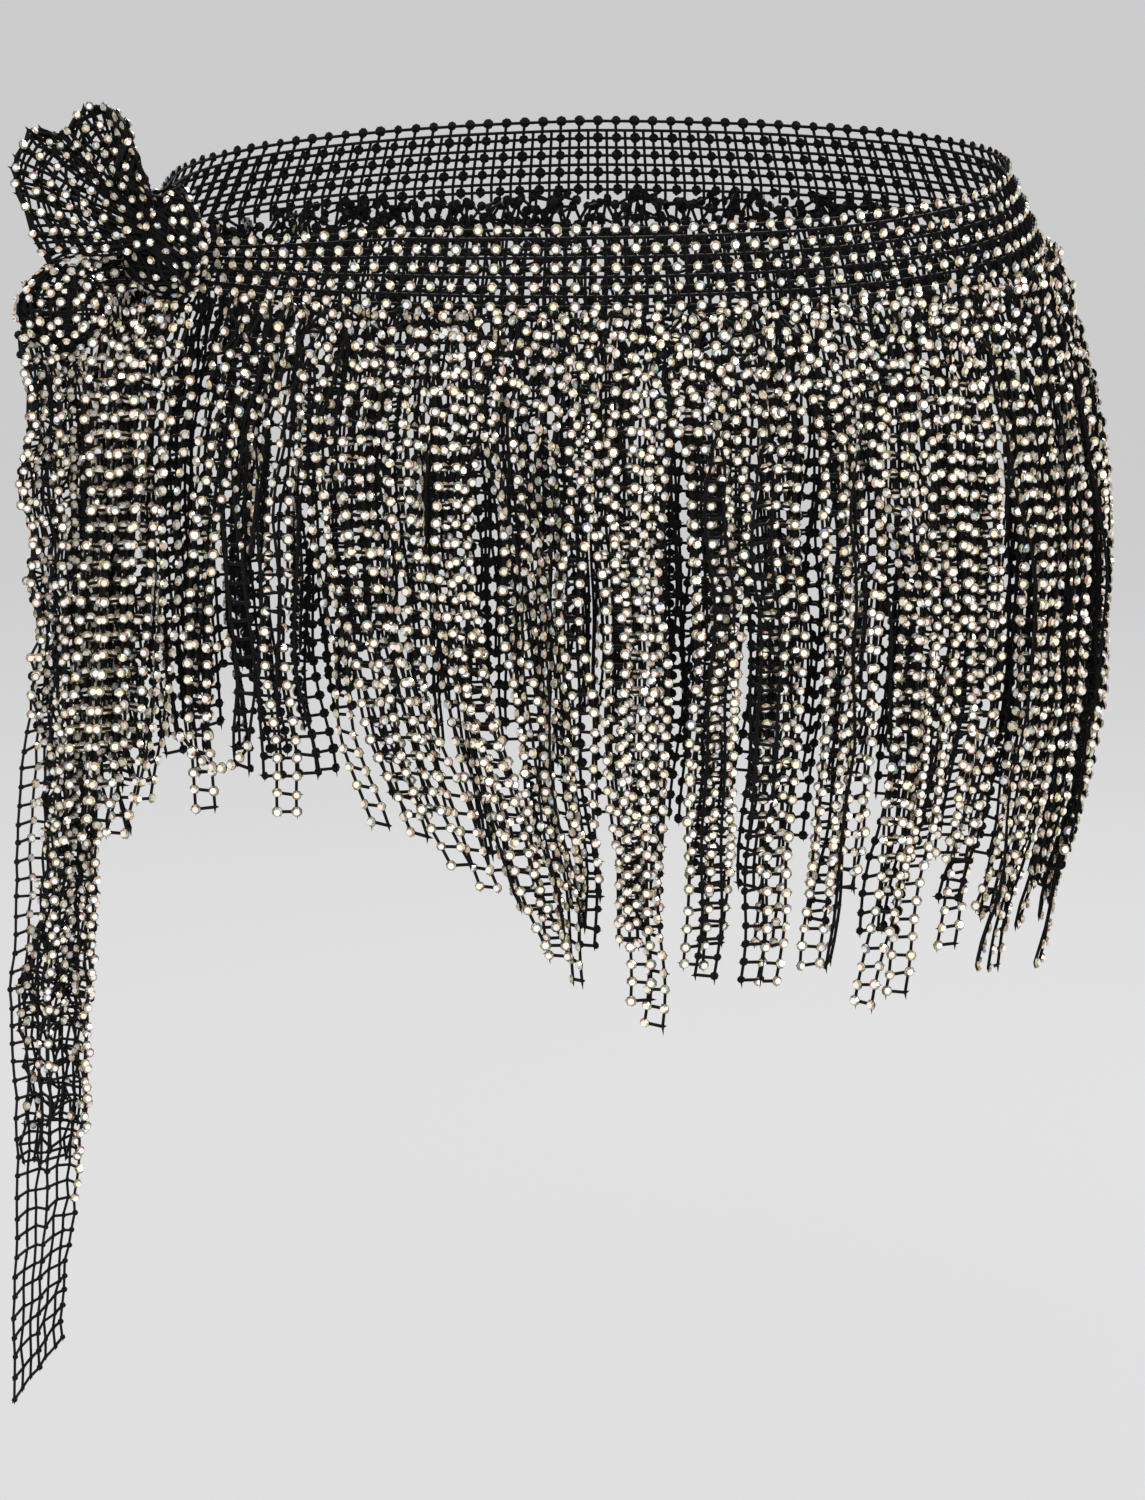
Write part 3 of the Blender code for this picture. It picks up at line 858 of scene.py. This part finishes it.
runs, places, ways, nubs = [], [], [], []
for row in LOOSE_LOOPS[1:]:
    more, chain, outward = hang_loop(*row)
    runs += more
    places += chain
    ways += outward
    ends = (0.0, 0.0, -SIDE_STUB), (0.0, 0.0, SIDE_STUB)
    nubs += [(place, place + end) for place in chain for end in ends]
loop_net = thread_piece("fringe_loops_threads", runs, YARN, tapers=nubs)
loop_stones = stone_piece("fringe_loops_stones", lifted(places, ways), ways, SEEDS["loops"])
hold((loop_net, "fringe_net"), (loop_stones, "crystal"))
trims["front"] += [loop_net, loop_stones]
print("loops:", len(LOOSE_LOOPS) - 1, "with", len(places), "stones")

# %% [markdown]
# ## The knot
#
# Where the ends are tied, many layers of net make a squat lump. Its inside never shows, so one
# rounded body of black net with wraps carries the stones, which lie on it at all angles.

# %% The knot's skin
KNOT_ANGLE, KNOT_OUT = 150.0, 15.6
KNOT_RADII = (17.0, 10.5, 16.5)
KNOT_WRAPS, KNOT_GROOVE = 3, 0.07
WRAPS_UNDER, WRAP_RINGS, WRAP_SIDES = -0.8, 40, 72


def knot_point(turn, rise, extra):
    """A point of the plain knot. turn goes round it, rise from pole to pole, extra moves it out."""
    middle, out = hip_place(KNOT_ANGLE, 0.5, KNOT_OUT)
    up = np.array((0.0, 0.0, 1.0))
    along = np.cross(up, out)
    wraps = math.cos(KNOT_WRAPS * (rise + 0.5 * math.sin(turn)) * 2.0)
    swell = 1.0 + KNOT_GROOVE * wraps * max(math.cos(rise), 0.0) ** 0.5
    way = (
        math.cos(rise) * math.cos(turn) * KNOT_RADII[0] * along
        + math.cos(rise) * math.sin(turn) * KNOT_RADII[1] * out
        + math.sin(rise) * KNOT_RADII[2] * up
    ) * swell
    return middle + way + extra * way / np.linalg.norm(way), way / np.linalg.norm(way)


def wrapped(turn, rise, extra):
    """The knot's skin with its drawn folds: slanting wraps, and a corner that stands up."""
    slanted = turn + 0.75 * rise
    folds = 0.9 * math.sin(5.0 * slanted + 1.1 * math.sin(2.0 * rise)) * max(math.cos(rise), 0.0)
    place, way = knot_point(turn, rise, extra + folds)
    corner = math.exp(-((place[0] + 137.0) / 7.0) ** 2) * eased((place[2] - 2.0) / 16.0)
    return place + (0.0, 0.0, 5.0 * corner), way


def knot_body(name, rings, sides):
    points = [wrapped(0.0, -math.pi / 2.0, WRAPS_UNDER)[0]]
    faces = []
    for ring in range(1, rings):
        rise = -math.pi / 2.0 + math.pi * ring / rings
        points += [wrapped(2.0 * math.pi * s / sides, rise, WRAPS_UNDER)[0] for s in range(sides)]
    points.append(wrapped(0.0, math.pi / 2.0, WRAPS_UNDER)[0])
    for side in range(sides):
        n = (side + 1) % sides
        faces.append((0, 1 + n, 1 + side))
        for ring in range(rings - 2):
            a, b = 1 + ring * sides, 1 + (ring + 1) * sides
            faces.append((a + side, a + n, b + n, b + side))
        a = 1 + (rings - 2) * sides
        faces.append((a + side, a + n, len(points) - 1))
    return new_piece(name, np.array(points), faces, YARN)


knot_piece = knot_body("knot_wraps", WRAP_RINGS, WRAP_SIDES)

# %% Draw the net over the knot
KNOT_LAYERS, KNOT_ROWS, KNOT_AROUND = 2, 9, 14
KNOT_FROM, KNOT_REACH = -78.0, 156.0
KNOT_STONE, KNOT_STONE_LIFT, KNOT_STONE_GAP = 1.5, 0.4, 3.9
runs, places, ways = [], [], []
for layer in range(KNOT_LAYERS):
    before = None
    for row in range(KNOT_ROWS):
        rise = math.radians(KNOT_FROM + KNOT_REACH * (row + 0.5 * layer) / KNOT_ROWS)
        ring = []
        for k in range(KNOT_AROUND):
            number = layer * 300 + row * 20 + k
            turn = 2.0 * math.pi * (k + 0.5 * layer) / KNOT_AROUND + 0.5 * rise
            turn += 0.08 * jitter(number, "knot turn")
            ring.append(wrapped(turn, rise + 0.05 * jitter(number, "knot rise"), 0.3 + 0.5 * layer))
        for k, (place, way) in enumerate(ring):
            runs.append((place, ring[(k + 1) % KNOT_AROUND][0]))
            if before is not None:
                runs.append((place, before[k][0]))
            if math.cos(rise) > 0.45 or k % 2:
                places.append(place + KNOT_STONE_LIFT * way)
                ways.append(way)
        before = ring
places, ways = spaced(places, ways, KNOT_STONE_GAP)
knot_net = thread_piece("knot_net", runs, YARN)
knot_stones = stone_piece("knot_stones", places, ways, SEEDS["knot"], KNOT_STONE)
hold((knot_piece, "studded_net"), (knot_net, "studded_net"), (knot_stones, "crystal"))
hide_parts("knot")
print("stones on the knot:", len(places))

# %% [markdown]
# ## Net on a folded sheet
#
# The two free ends are the same net, folded. Each is a surface given by a function of two
# numbers. The net is laid on it at given values of the two numbers. Down the tail they are a
# cell apart along its middle, so there the rows keep their spacing where the cloth folds.

# %% A smooth row between the rows of a table


def smooth_row(rows, place):
    """All the numbers at a place between a table's rows, on a smooth curve through them."""
    rows = rows[1:]
    place = min(max(place, 0.0), len(rows) - 1.0)
    k = min(int(place), len(rows) - 2)
    t = place - k
    before = np.array(rows[max(k - 1, 0)])
    a, b = np.array(rows[k]), np.array(rows[k + 1])
    after = np.array(rows[min(k + 2, len(rows) - 1)])
    return 0.5 * (
        2.0 * a
        + (b - before) * t
        + (2.0 * before - 5.0 * a + 4.0 * b - after) * t * t
        + (3.0 * a - before - 3.0 * b + after) * t * t * t
    )


def surface_way(surface, u, v):
    """The way a surface faces, by small steps on it. lay_net turns it to the side towards the
    viewer.
    """
    step = 0.01
    one = surface(min(u + step, 1.0), v) - surface(max(u - step, 0.0), v)
    two = surface(u, min(v + step, 1.0)) - surface(u, max(v - step, 0.0))
    way = np.cross(one, two)
    return unit(way)


def lay_net(surface, us, vs, depth=0.0, loose=0.0, seed=0):
    """Knots of a net laid on a surface, row by row, with the way each faces, and the threads.

    depth moves the layer towards the viewer, and loose lets its knots stray, in millimetres.
    """
    chance = np.random.default_rng(seed)
    grid = []
    for u in us:
        line = []
        for v in vs:
            way = surface_way(surface, u, v)
            way = way if way[1] < 0.0 else -way
            stray = loose * chance.normal(0.0, 1.0, 3)
            line.append((surface(u, v) + (0.0, -depth, 0.0) + stray, way))
        grid.append(line)
    return grid, grid_threads([[place for place, _ in line] for line in grid])


def cut_ends(grid):
    """Short thread ends outside the last row and both side columns of a laid net."""
    pairs = [(inner[0], outer[0]) for inner, outer in zip(grid[-2], grid[-1])]
    for line in grid:
        pairs += [(line[1][0], line[0][0]), (line[-2][0], line[-1][0])]
    stubs = []
    for inner, outer in pairs:
        stubs.append((outer, outer + SIDE_STUB * unit(outer - inner)))
    return stubs


def shares(count, shift):
    """Even shares from 0 to 1, moved on by a part of a step."""
    return np.clip((np.arange(count) + shift) / (count - 1), 0.0, 1.0)


print("shares of three, half a step on:", shares(3, 0.5))

# %% [markdown]
# ## The spread end
#
# Above the knot the short end opens like a fan and curls over at its top. Its pleats start at
# the knot and fade towards the free rim. Gathered net lies in several layers: three here, the
# first and the last of them with stones.

# %% The fan's surface
FAN_RIM = (
    ("x", "y", "z"),
    (-181.0, -72.0, -3.0),
    (-187.0, -76.0, 9.0),
    (-193.0, -72.0, 26.0),
    (-187.0, -67.0, 39.0),
    (-177.0, -64.0, 37.5),
    (-171.0, -67.0, 46.0),
    (-160.0, -72.0, 48.0),
    (-154.5, -80.0, 40.0),
    (-160.0, -86.0, 29.0),
)
FAN_PLEATS, FAN_PLEAT_DEPTH = 4, 3.0
FAN_ROOT_TURN, FAN_ROOT_RISE = (60.0, 40.0), (8.0, 52.0)
OVER_KNOT, OVER_KNOT_TURN, OVER_KNOT_RISE = 0.36, (-8.0, 10.0), (-62.0, 84.0)


def fan_surface(along, across):
    """The net comes from under the knot's right edge, lies over it, and spreads to its free rim."""
    rim = smooth_row(FAN_RIM, across * (len(FAN_RIM) - 2))
    turn = FAN_ROOT_TURN[0] + FAN_ROOT_TURN[1] * math.sin(math.pi * across)
    rise = FAN_ROOT_RISE[0] + FAN_ROOT_RISE[1] * across
    pleat = FAN_PLEAT_DEPTH * math.sin(2.0 * math.pi * FAN_PLEATS * across)
    if along < OVER_KNOT:
        done = along / OVER_KNOT
        from_turn = OVER_KNOT_TURN[0] + OVER_KNOT_TURN[1] * across
        from_rise = OVER_KNOT_RISE[0] + OVER_KNOT_RISE[1] * across
        turn = math.radians(from_turn + (turn - from_turn) * done)
        rise = math.radians(from_rise + (rise - from_rise) * done)
        return wrapped(turn, rise, 1.0 + 0.3 * pleat * math.sin(math.pi * done))[0]
    free = (along - OVER_KNOT) / (1.0 - OVER_KNOT)
    root = wrapped(math.radians(turn), math.radians(rise), 1.0)[0]
    place = root + (rim - root) * free
    place[1] -= pleat * math.sin(math.pi * min(free * 0.8, 0.5)) * eased(free * 1.6)
    return place


print("points on the fan's rim:", len(FAN_RIM) - 1)

# %% Lay the fan
FAN_ROWS, FAN_COLUMNS = 12, 19
FAN_STONE, FAN_STONE_GAP = 1.55, 3.8
FAN_LAYERS = (
    ("depth", "shift", "loose", "stoned"),
    (1.6, 0.0, 0.5, True),
    (0.0, 0.5, 0.8, False),
    (-1.6, 0.75, 0.5, True),
)
runs, places, ways, stubs = [], [], [], []
for number, (depth, shift, loose, stoned) in enumerate(FAN_LAYERS[1:]):
    us, vs = shares(FAN_ROWS, shift), shares(FAN_COLUMNS, shift)
    grid, more = lay_net(fan_surface, us, vs, depth, loose, SEEDS["fan net"] + number)
    runs += more
    stubs += cut_ends(grid)
    if stoned:
        facing = 1.0 if depth > 0.0 else -1.0
        knots = [place for line in grid for place, _ in line]
        outward = [facing * way for line in grid for _, way in line]
        layer_places, layer_ways = spaced(lifted(knots, outward), outward, FAN_STONE_GAP)
        places += layer_places
        ways += layer_ways
fan_net = thread_piece("fan_net", runs, YARN, tapers=stubs)
fan_stones = stone_piece("fan_stones", places, ways, SEEDS["fan"], FAN_STONE)
hold((fan_net, "studded_net"), (fan_stones, "crystal"))
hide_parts("fan_end")
print("stones on the fan:", len(places))

# %% [markdown]
# ## The long end
#
# The long end leaves the knot, folds over and hangs as a tail, in four layers. The front one
# reaches the tip, and those behind end higher up, so the tail thins out downwards. Its upper part
# shows the stones, and lower down it shows the reverse: bare net with a dark seat behind each
# stone.

# %% The tail's surface
TAIL_SECTIONS = (
    ("x", "y", "z", "width", "roll", "fold"),
    (-163.5, -66.0, -8.0, 11.0, 80.0, 1.2),
    (-172.0, -66.0, -10.5, 14.0, 72.0, 2.0),
    (-181.0, -64.0, -19.0, 20.0, 42.0, 3.0),
    (-182.5, -61.0, -32.0, 20.0, 12.0, 4.0),
    (-179.0, -59.5, -52.0, 21.0, 2.0, 4.6),
    (-179.0, -59.0, -90.0, 23.0, 0.0, 5.0),
    (-178.0, -59.0, -140.0, 22.0, 0.0, 5.0),
    (-181.0, -59.0, -190.0, 27.0, 0.0, 5.0),
    (-182.5, -59.0, -228.0, 26.5, 0.0, 5.0),
    (-184.5, -59.0, -262.0, 26.5, 0.0, 5.0),
    (-184.5, -59.0, -296.0, 23.0, 0.0, 4.5),
    (-186.5, -58.0, -330.0, 20.0, 0.0, 4.0),
    (-189.5, -57.0, -362.0, 17.0, 0.0, 3.0),
    (-189.5, -57.0, -378.0, 16.0, 0.0, 2.5),
)
TAIL_TIP_SLANT, TAIL_FOLDS, TAIL_WALL = 22.0, 2, 1.4
TAIL_ROOT_STEPS, TAIL_ALONG = 3, 26
TAIL_ROOT_TURN, TAIL_ROOT_LOW, TAIL_ROOT_SPREAD = 150.0, -52.0, 40.0


def tail_surface(along, across):
    x, y, z, width, roll, fold = smooth_row(TAIL_SECTIONS, along * (len(TAIL_SECTIONS) - 2))
    across_way = np.array((math.cos(math.radians(roll)), 0.0, math.sin(math.radians(roll))))
    place = np.array((x, y, z)) + across_way * width * (across - 0.5)
    place[1] -= fold * math.cos(2.0 * math.pi * TAIL_FOLDS * across)
    place[2] -= TAIL_TIP_SLANT * (1.0 - across) * eased((along - 0.75) / 0.25)
    rise = math.radians(TAIL_ROOT_LOW + TAIL_ROOT_SPREAD * across)
    root = knot_point(math.radians(TAIL_ROOT_TURN), rise, SEAM + TAIL_WALL)[0]
    return root + (place - root) * eased(along * TAIL_ALONG / TAIL_ROOT_STEPS)


TAIL_EDGE = (
    ("height", "inset"),
    (-400.0, 0.0),
    (-215.0, 0.5),
    (-180.0, 0.5),
    (-150.0, 1.0),
    (-128.0, 3.0),
    (-112.0, 0.0),
    (-98.0, 3.0),
    (-84.0, -1.5),
    (-74.0, -0.5),
    (-58.0, 1.5),
    (-25.0, 0.5),
)


def uneven_tail(along, across):
    """The tail with its ragged left edge, which runs in and out as the fold does."""
    place = tail_surface(along, across)
    place[0] += look_up(TAIL_EDGE, "inset", place[2]) * (1.0 - across) ** 2
    return place


def inner_tail(along, across):
    """The folds behind: half way down they leave the left third of the width clear."""
    down = -tail_surface(along, 0.5)[2]
    start = 0.36 * eased((down - 140.0) / 50.0) * (1.0 - 0.65 * eased((down - 222.0) / 35.0))
    return uneven_tail(along, start + (1.0 - start) * across)


def even_steps(surface, step):
    """Values of along that are about one step apart down the middle of a surface."""
    fine = np.linspace(0.0, 1.0, 400)
    line = np.array([surface(u, 0.5) for u in fine])
    length = np.concatenate([[0.0], np.cumsum(np.linalg.norm(np.diff(line, axis=0), axis=1))])
    return np.interp(np.linspace(0.0, length[-1], round(length[-1] / step) + 1), length, fine)


print("tail sections:", len(TAIL_SECTIONS) - 1)

# %% Lay the tail
STONED_UNTIL, BARE_STRAY = -268.0, 40.0
EDGE_STONES_UNTIL, LEFT_STONES_UNTIL = -328.0, -165.0
TAIL_COLUMNS, TAIL_THREAD, TAIL_STONE, TAIL_BACK = 7, 0.6, 1.6, 1.0
TOWARDS_VIEWER, ROUND_THE_EDGE = np.array((0.0, -0.9, 0.0)), np.array((0.9, 0.0, 0.0))
TAIL_LAYERS = (
    ("depth", "shift", "loose", "ends_at", "least_gap", "facing"),
    (1.5, 0.0, 0.35, -400.0, 4.4, 1.0),
    (0.3, 0.4, 1.0, -312.0, 4.2, 1.0),
    (-0.9, 0.7, 1.0, -292.0, 4.2, 1.0),
    (-1.9, 0.2, 1.0, -262.0, 5.5, -1.0),
)


def stones_until(number, i, j):
    """The height down to which row i and column j of a layer show their stone."""
    if j == TAIL_COLUMNS - 1:
        return EDGE_STONES_UNTIL
    if number == 0 and j == 0:
        return LEFT_STONES_UNTIL
    return STONED_UNTIL + BARE_STRAY * jitter(i * 9 + j, "bare", number)


steps = even_steps(tail_surface, CELL_HIGH)
runs, places, ways, bare, bare_ways, stubs = [], [], [], [], [], []
for number, (depth, shift, loose, ends_at, least_gap, facing) in enumerate(TAIL_LAYERS[1:]):
    us = [u for u in steps if tail_surface(u, 0.5)[2] > ends_at]
    us = np.clip(np.array(us) + shift * (steps[1] - steps[0]), 0.0, 1.0)
    vs = shares(TAIL_COLUMNS, shift - 0.5 * (number > 0))
    surface = uneven_tail if number == 0 else inner_tail
    grid, more = lay_net(surface, us, vs, depth, loose, SEEDS["tail net"] + number)
    runs += more
    stubs += cut_ends(grid)
    stoned, stoned_ways = [], []
    for i, line in enumerate(grid):
        for j, (place, way) in enumerate(line):
            if place[2] < stones_until(number, i, j):
                bare.append(place)
                bare_ways.append(-way)
                continue
            outward = facing * (way + TOWARDS_VIEWER)
            if j == TAIL_COLUMNS - 1:
                outward = outward + ROUND_THE_EDGE
            stoned_ways.append(unit(outward))
            stoned.append(place + STONE_LIFT * stoned_ways[-1])
    stoned, stoned_ways = spaced(stoned, stoned_ways, least_gap)
    places += stoned
    ways += stoned_ways
tail_net = thread_piece("tail_net", runs, BARE_YARN, TAIL_THREAD, stubs)
tail_stones = stone_piece("tail_stones", places, ways, SEEDS["tail"], TAIL_STONE)
tail_backs = stone_piece("tail_backs", bare, bare_ways, SEEDS["tail backs"], TAIL_BACK)
hold((tail_net, "bare_net"), (tail_stones, "crystal"), (tail_backs, "crystal"))
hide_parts("tail")
print("tail rows:", len(steps), "stones:", len(places), "backs:", len(bare))

# %% [markdown]
# ## The puff at the fold
#
# Just under the knot the long end doubles over and stands out to the side, like a small pillow.
# It is a part of a ball, flattened and wrinkled, and its stones follow it round the edge. Short
# thread ends stick out there, because the cut edge of the net runs along the fold.

# %% Lay the puff
PUFF_MIDDLE = np.array((-177.0, -63.5, -20.5))
PUFF_HALF = np.array((15.5, 8.5, 14.5))
PUFF_TURNS, PUFF_RISES = (-85.0, 140.0), (-78.0, 80.0)


def puff_surface(around, up):
    turn = math.radians(PUFF_TURNS[0] + (PUFF_TURNS[1] - PUFF_TURNS[0]) * around)
    rise = math.radians(PUFF_RISES[0] + (PUFF_RISES[1] - PUFF_RISES[0]) * up)
    wrinkle = 1.0 + 0.07 * math.sin(6.0 * turn + 3.0 * rise) * math.cos(rise)
    level = math.cos(rise)
    way = np.array((-math.sin(turn) * level, -math.cos(turn) * level, math.sin(rise)))
    return PUFF_MIDDLE + PUFF_HALF * way * wrinkle


PUFF_LAYERS = (
    ("inset", "shift", "least_gap"),
    (0.0, 0.0, 4.4),
    (0.9, 0.5, 7.0),
    (1.8, 0.25, 50.0),
)
PUFF_ROWS, PUFF_COLUMNS, PUFF_LOOSE = 11, 8, 0.4
PUFF_EDGE, PUFF_NUB = -0.75, 2.4
runs, places, ways, nubs = [], [], [], []
for number, (inset, shift, least_gap) in enumerate(PUFF_LAYERS[1:]):
    us, vs = shares(PUFF_ROWS, shift), shares(PUFF_COLUMNS, shift)
    grid, more = lay_net(puff_surface, us, vs, 0.0, PUFF_LOOSE, SEEDS["puff net"] + number)
    shrink = 1.0 - inset / PUFF_HALF[0]
    runs += [[PUFF_MIDDLE + (p - PUFF_MIDDLE) * shrink for p in run] for run in more]
    knots, outward = [], []
    for place in [place for line in grid for place, _ in line]:
        knots.append(PUFF_MIDDLE + (place - PUFF_MIDDLE) * shrink)
        outward.append(unit((place - PUFF_MIDDLE) / PUFF_HALF**2))
        if outward[-1][0] < PUFF_EDGE and number == 0:
            nubs.append((knots[-1], knots[-1] + PUFF_NUB * outward[-1]))
    layer_places, layer_ways = spaced(lifted(knots, outward), outward, least_gap)
    places += layer_places
    ways += layer_ways
puff_net = thread_piece("puff_net", runs, YARN, tapers=nubs)
puff_stones = stone_piece("puff_stones", places, ways, SEEDS["puff"], TAIL_STONE)
hold((puff_net, "bare_net"), (puff_stones, "crystal"))
print("stones on the puff:", len(places))

# %% [markdown]
# ## The side fringe
#
# Under the knot hang more strips, in two short rows, with the same ladders.

# %% Hang the side fringe
BUNDLE_ROWS = (
    ("y", "first_x", "strips", "length", "forward"),
    (-71.2, -164.5, 4, 186.0, 3.0),
    (-69.3, -160.5, 3, 160.0, 0.0),
)
BUNDLE_PITCH, BUNDLE_TOP, BUNDLE_SWING = 8.4, -16.6, -15.0
BUNDLE_TAPER, BUNDLE_UNEVEN, BUNDLE_LAG, BUNDLE_NUMBERS = 0.1, 6.0, 0.3, 500


def bundle_line(x, y, forward):
    def line(drop, side, out):
        swing = BUNDLE_SWING * (drop / SWING_DROP) ** 2
        ahead = y - forward * eased(drop / HANG_DROP) - STRIP_THICKNESS / 2.0 - out
        place = np.array((x + swing + side, ahead, BUNDLE_TOP - EDGE_STUB - drop))
        return place, np.array((1.0, 0.0, 0.0)), np.array((0.0, -1.0, 0.0))

    return line


side_pieces = []
for row_number, (y, first_x, strips, length, forward) in enumerate(BUNDLE_ROWS[1:], 1):
    ladders = []
    for k in range(strips):
        reach = length * (1.0 - BUNDLE_TAPER * k / strips) + BUNDLE_UNEVEN * jitter(k, "side length")
        line = bundle_line(first_x + k * BUNDLE_PITCH, y, forward)
        lag = BUNDLE_LAG * jitter(row_number, "lag")
        ladders.append(ladder(line, BUNDLE_NUMBERS + 20 * row_number + k, reach, lag))
    runs, stubs, knots, ways = joined(ladders)
    net = thread_piece(f"side_threads_{row_number}", runs, YARN, tapers=stubs)
    seed = SEEDS["side"] + row_number
    stones = stone_piece(f"side_stones_{row_number}", lifted(knots, ways), ways, seed)
    hold((net, "fringe_net"), (stones, "crystal"))
    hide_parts(f"side_fringe_{row_number}")
    side_pieces += [net, stones]
    print("side row", row_number, len(knots), "stones")

# %% Gather the pieces of the two free ends and the knot in one list
tail_trims = [tail_stones, tail_backs, puff_net, puff_stones, *side_pieces]
tail_trims += [knot_piece, knot_net, knot_stones]

# %% [markdown]
# ## The room
#
# A pale floor and a soft light all round. A large key from the front makes the stones flash, a
# weaker fill keeps the far hip from falling dark, and a rim lamp behind lights the edges.

# %% Floor, lights and camera


def paper_material(name, colour, glow):
    """Matt paper. A little light of its own keeps it even where the lamps do not reach."""
    white = (1.0, 1.0, 1.0, 1.0)
    return principled(
        name, Base_Color=colour, Roughness=0.9, Emission_Color=white, Emission_Strength=glow
    )[0]


def aim_at(thing, place, target):
    way = Vector(np.array(target) - np.array(place))
    thing.location = place
    thing.rotation_euler = way.to_track_quat("-Z", "Y").to_euler()
    bpy.context.scene.collection.objects.link(thing)


LIGHTS = (
    ("name", "x", "y", "z", "watts", "size"),
    ("key", -0.2, -2.1, 1.0, 42.0, 1.2),
    ("fill", 1.6, -1.2, 0.5, 20.0, 1.0),
    ("rim", 0.3, 1.7, 1.0, 26.0, 1.2),
)
for name, x, y, z, watts, size in LIGHTS[1:]:
    lamp = bpy.data.lights.new(name, "AREA")
    lamp.energy, lamp.size = watts, size
    aim_at(bpy.data.objects.new(name, lamp), (x, y, z), (0.0, 0.0, -0.1))

FLOOR_HEIGHT, FLOOR_RADIUS, FLOOR_SIDES = -0.62, 16.0, 64
PAPER, PAPER_GLOW = (0.2, 0.2, 0.2, 1.0), 0.45
turns = 2.0 * np.pi * np.arange(FLOOR_SIDES) / FLOOR_SIDES
rim = FLOOR_RADIUS * np.stack([np.cos(turns), np.sin(turns), np.zeros(FLOOR_SIDES)], axis=1)
floor = new_piece(
    "floor",
    (rim + [0.0, 0.0, FLOOR_HEIGHT]) / MM,
    [tuple(range(FLOOR_SIDES))],
    paper_material("pale floor", PAPER, PAPER_GLOW),
)
world = bpy.data.worlds.new("soft studio")
world.use_nodes = True
world.node_tree.nodes["Background"].inputs["Color"].default_value = (0.97, 0.97, 0.98, 1.0)
world.node_tree.nodes["Background"].inputs["Strength"].default_value = 0.6
bpy.context.scene.world = world

# %% Camera
VIEW_DISTANCE, EYE_HEIGHT = 3.5, 0.5588
PICTURE_HEIGHT_AT_BODY = 0.508
SENSOR = 36.0
target = np.array((-0.0066, -0.060, -0.1728))
eye = np.array((target[0], target[1] - VIEW_DISTANCE, EYE_HEIGHT))
camera_data = bpy.data.cameras.new("camera")
camera_data.sensor_width = SENSOR
reach = float(np.linalg.norm(target - eye))
camera_data.lens = SENSOR * reach / PICTURE_HEIGHT_AT_BODY
camera = bpy.data.objects.new("camera", camera_data)
aim_at(camera, eye, target)
bpy.context.scene.camera = camera
bpy.context.scene.view_settings.view_transform = "Standard"
print("lens:", round(camera_data.lens), "mm")

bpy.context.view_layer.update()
triangles = {
    thing.name: sum(len(face.vertices) - 2 for face in thing.data.polygons)
    for thing in bpy.data.objects
    if thing.type == "MESH" and thing.name != "floor"
}
print("triangles:", triangles, "in all", sum(triangles.values()))
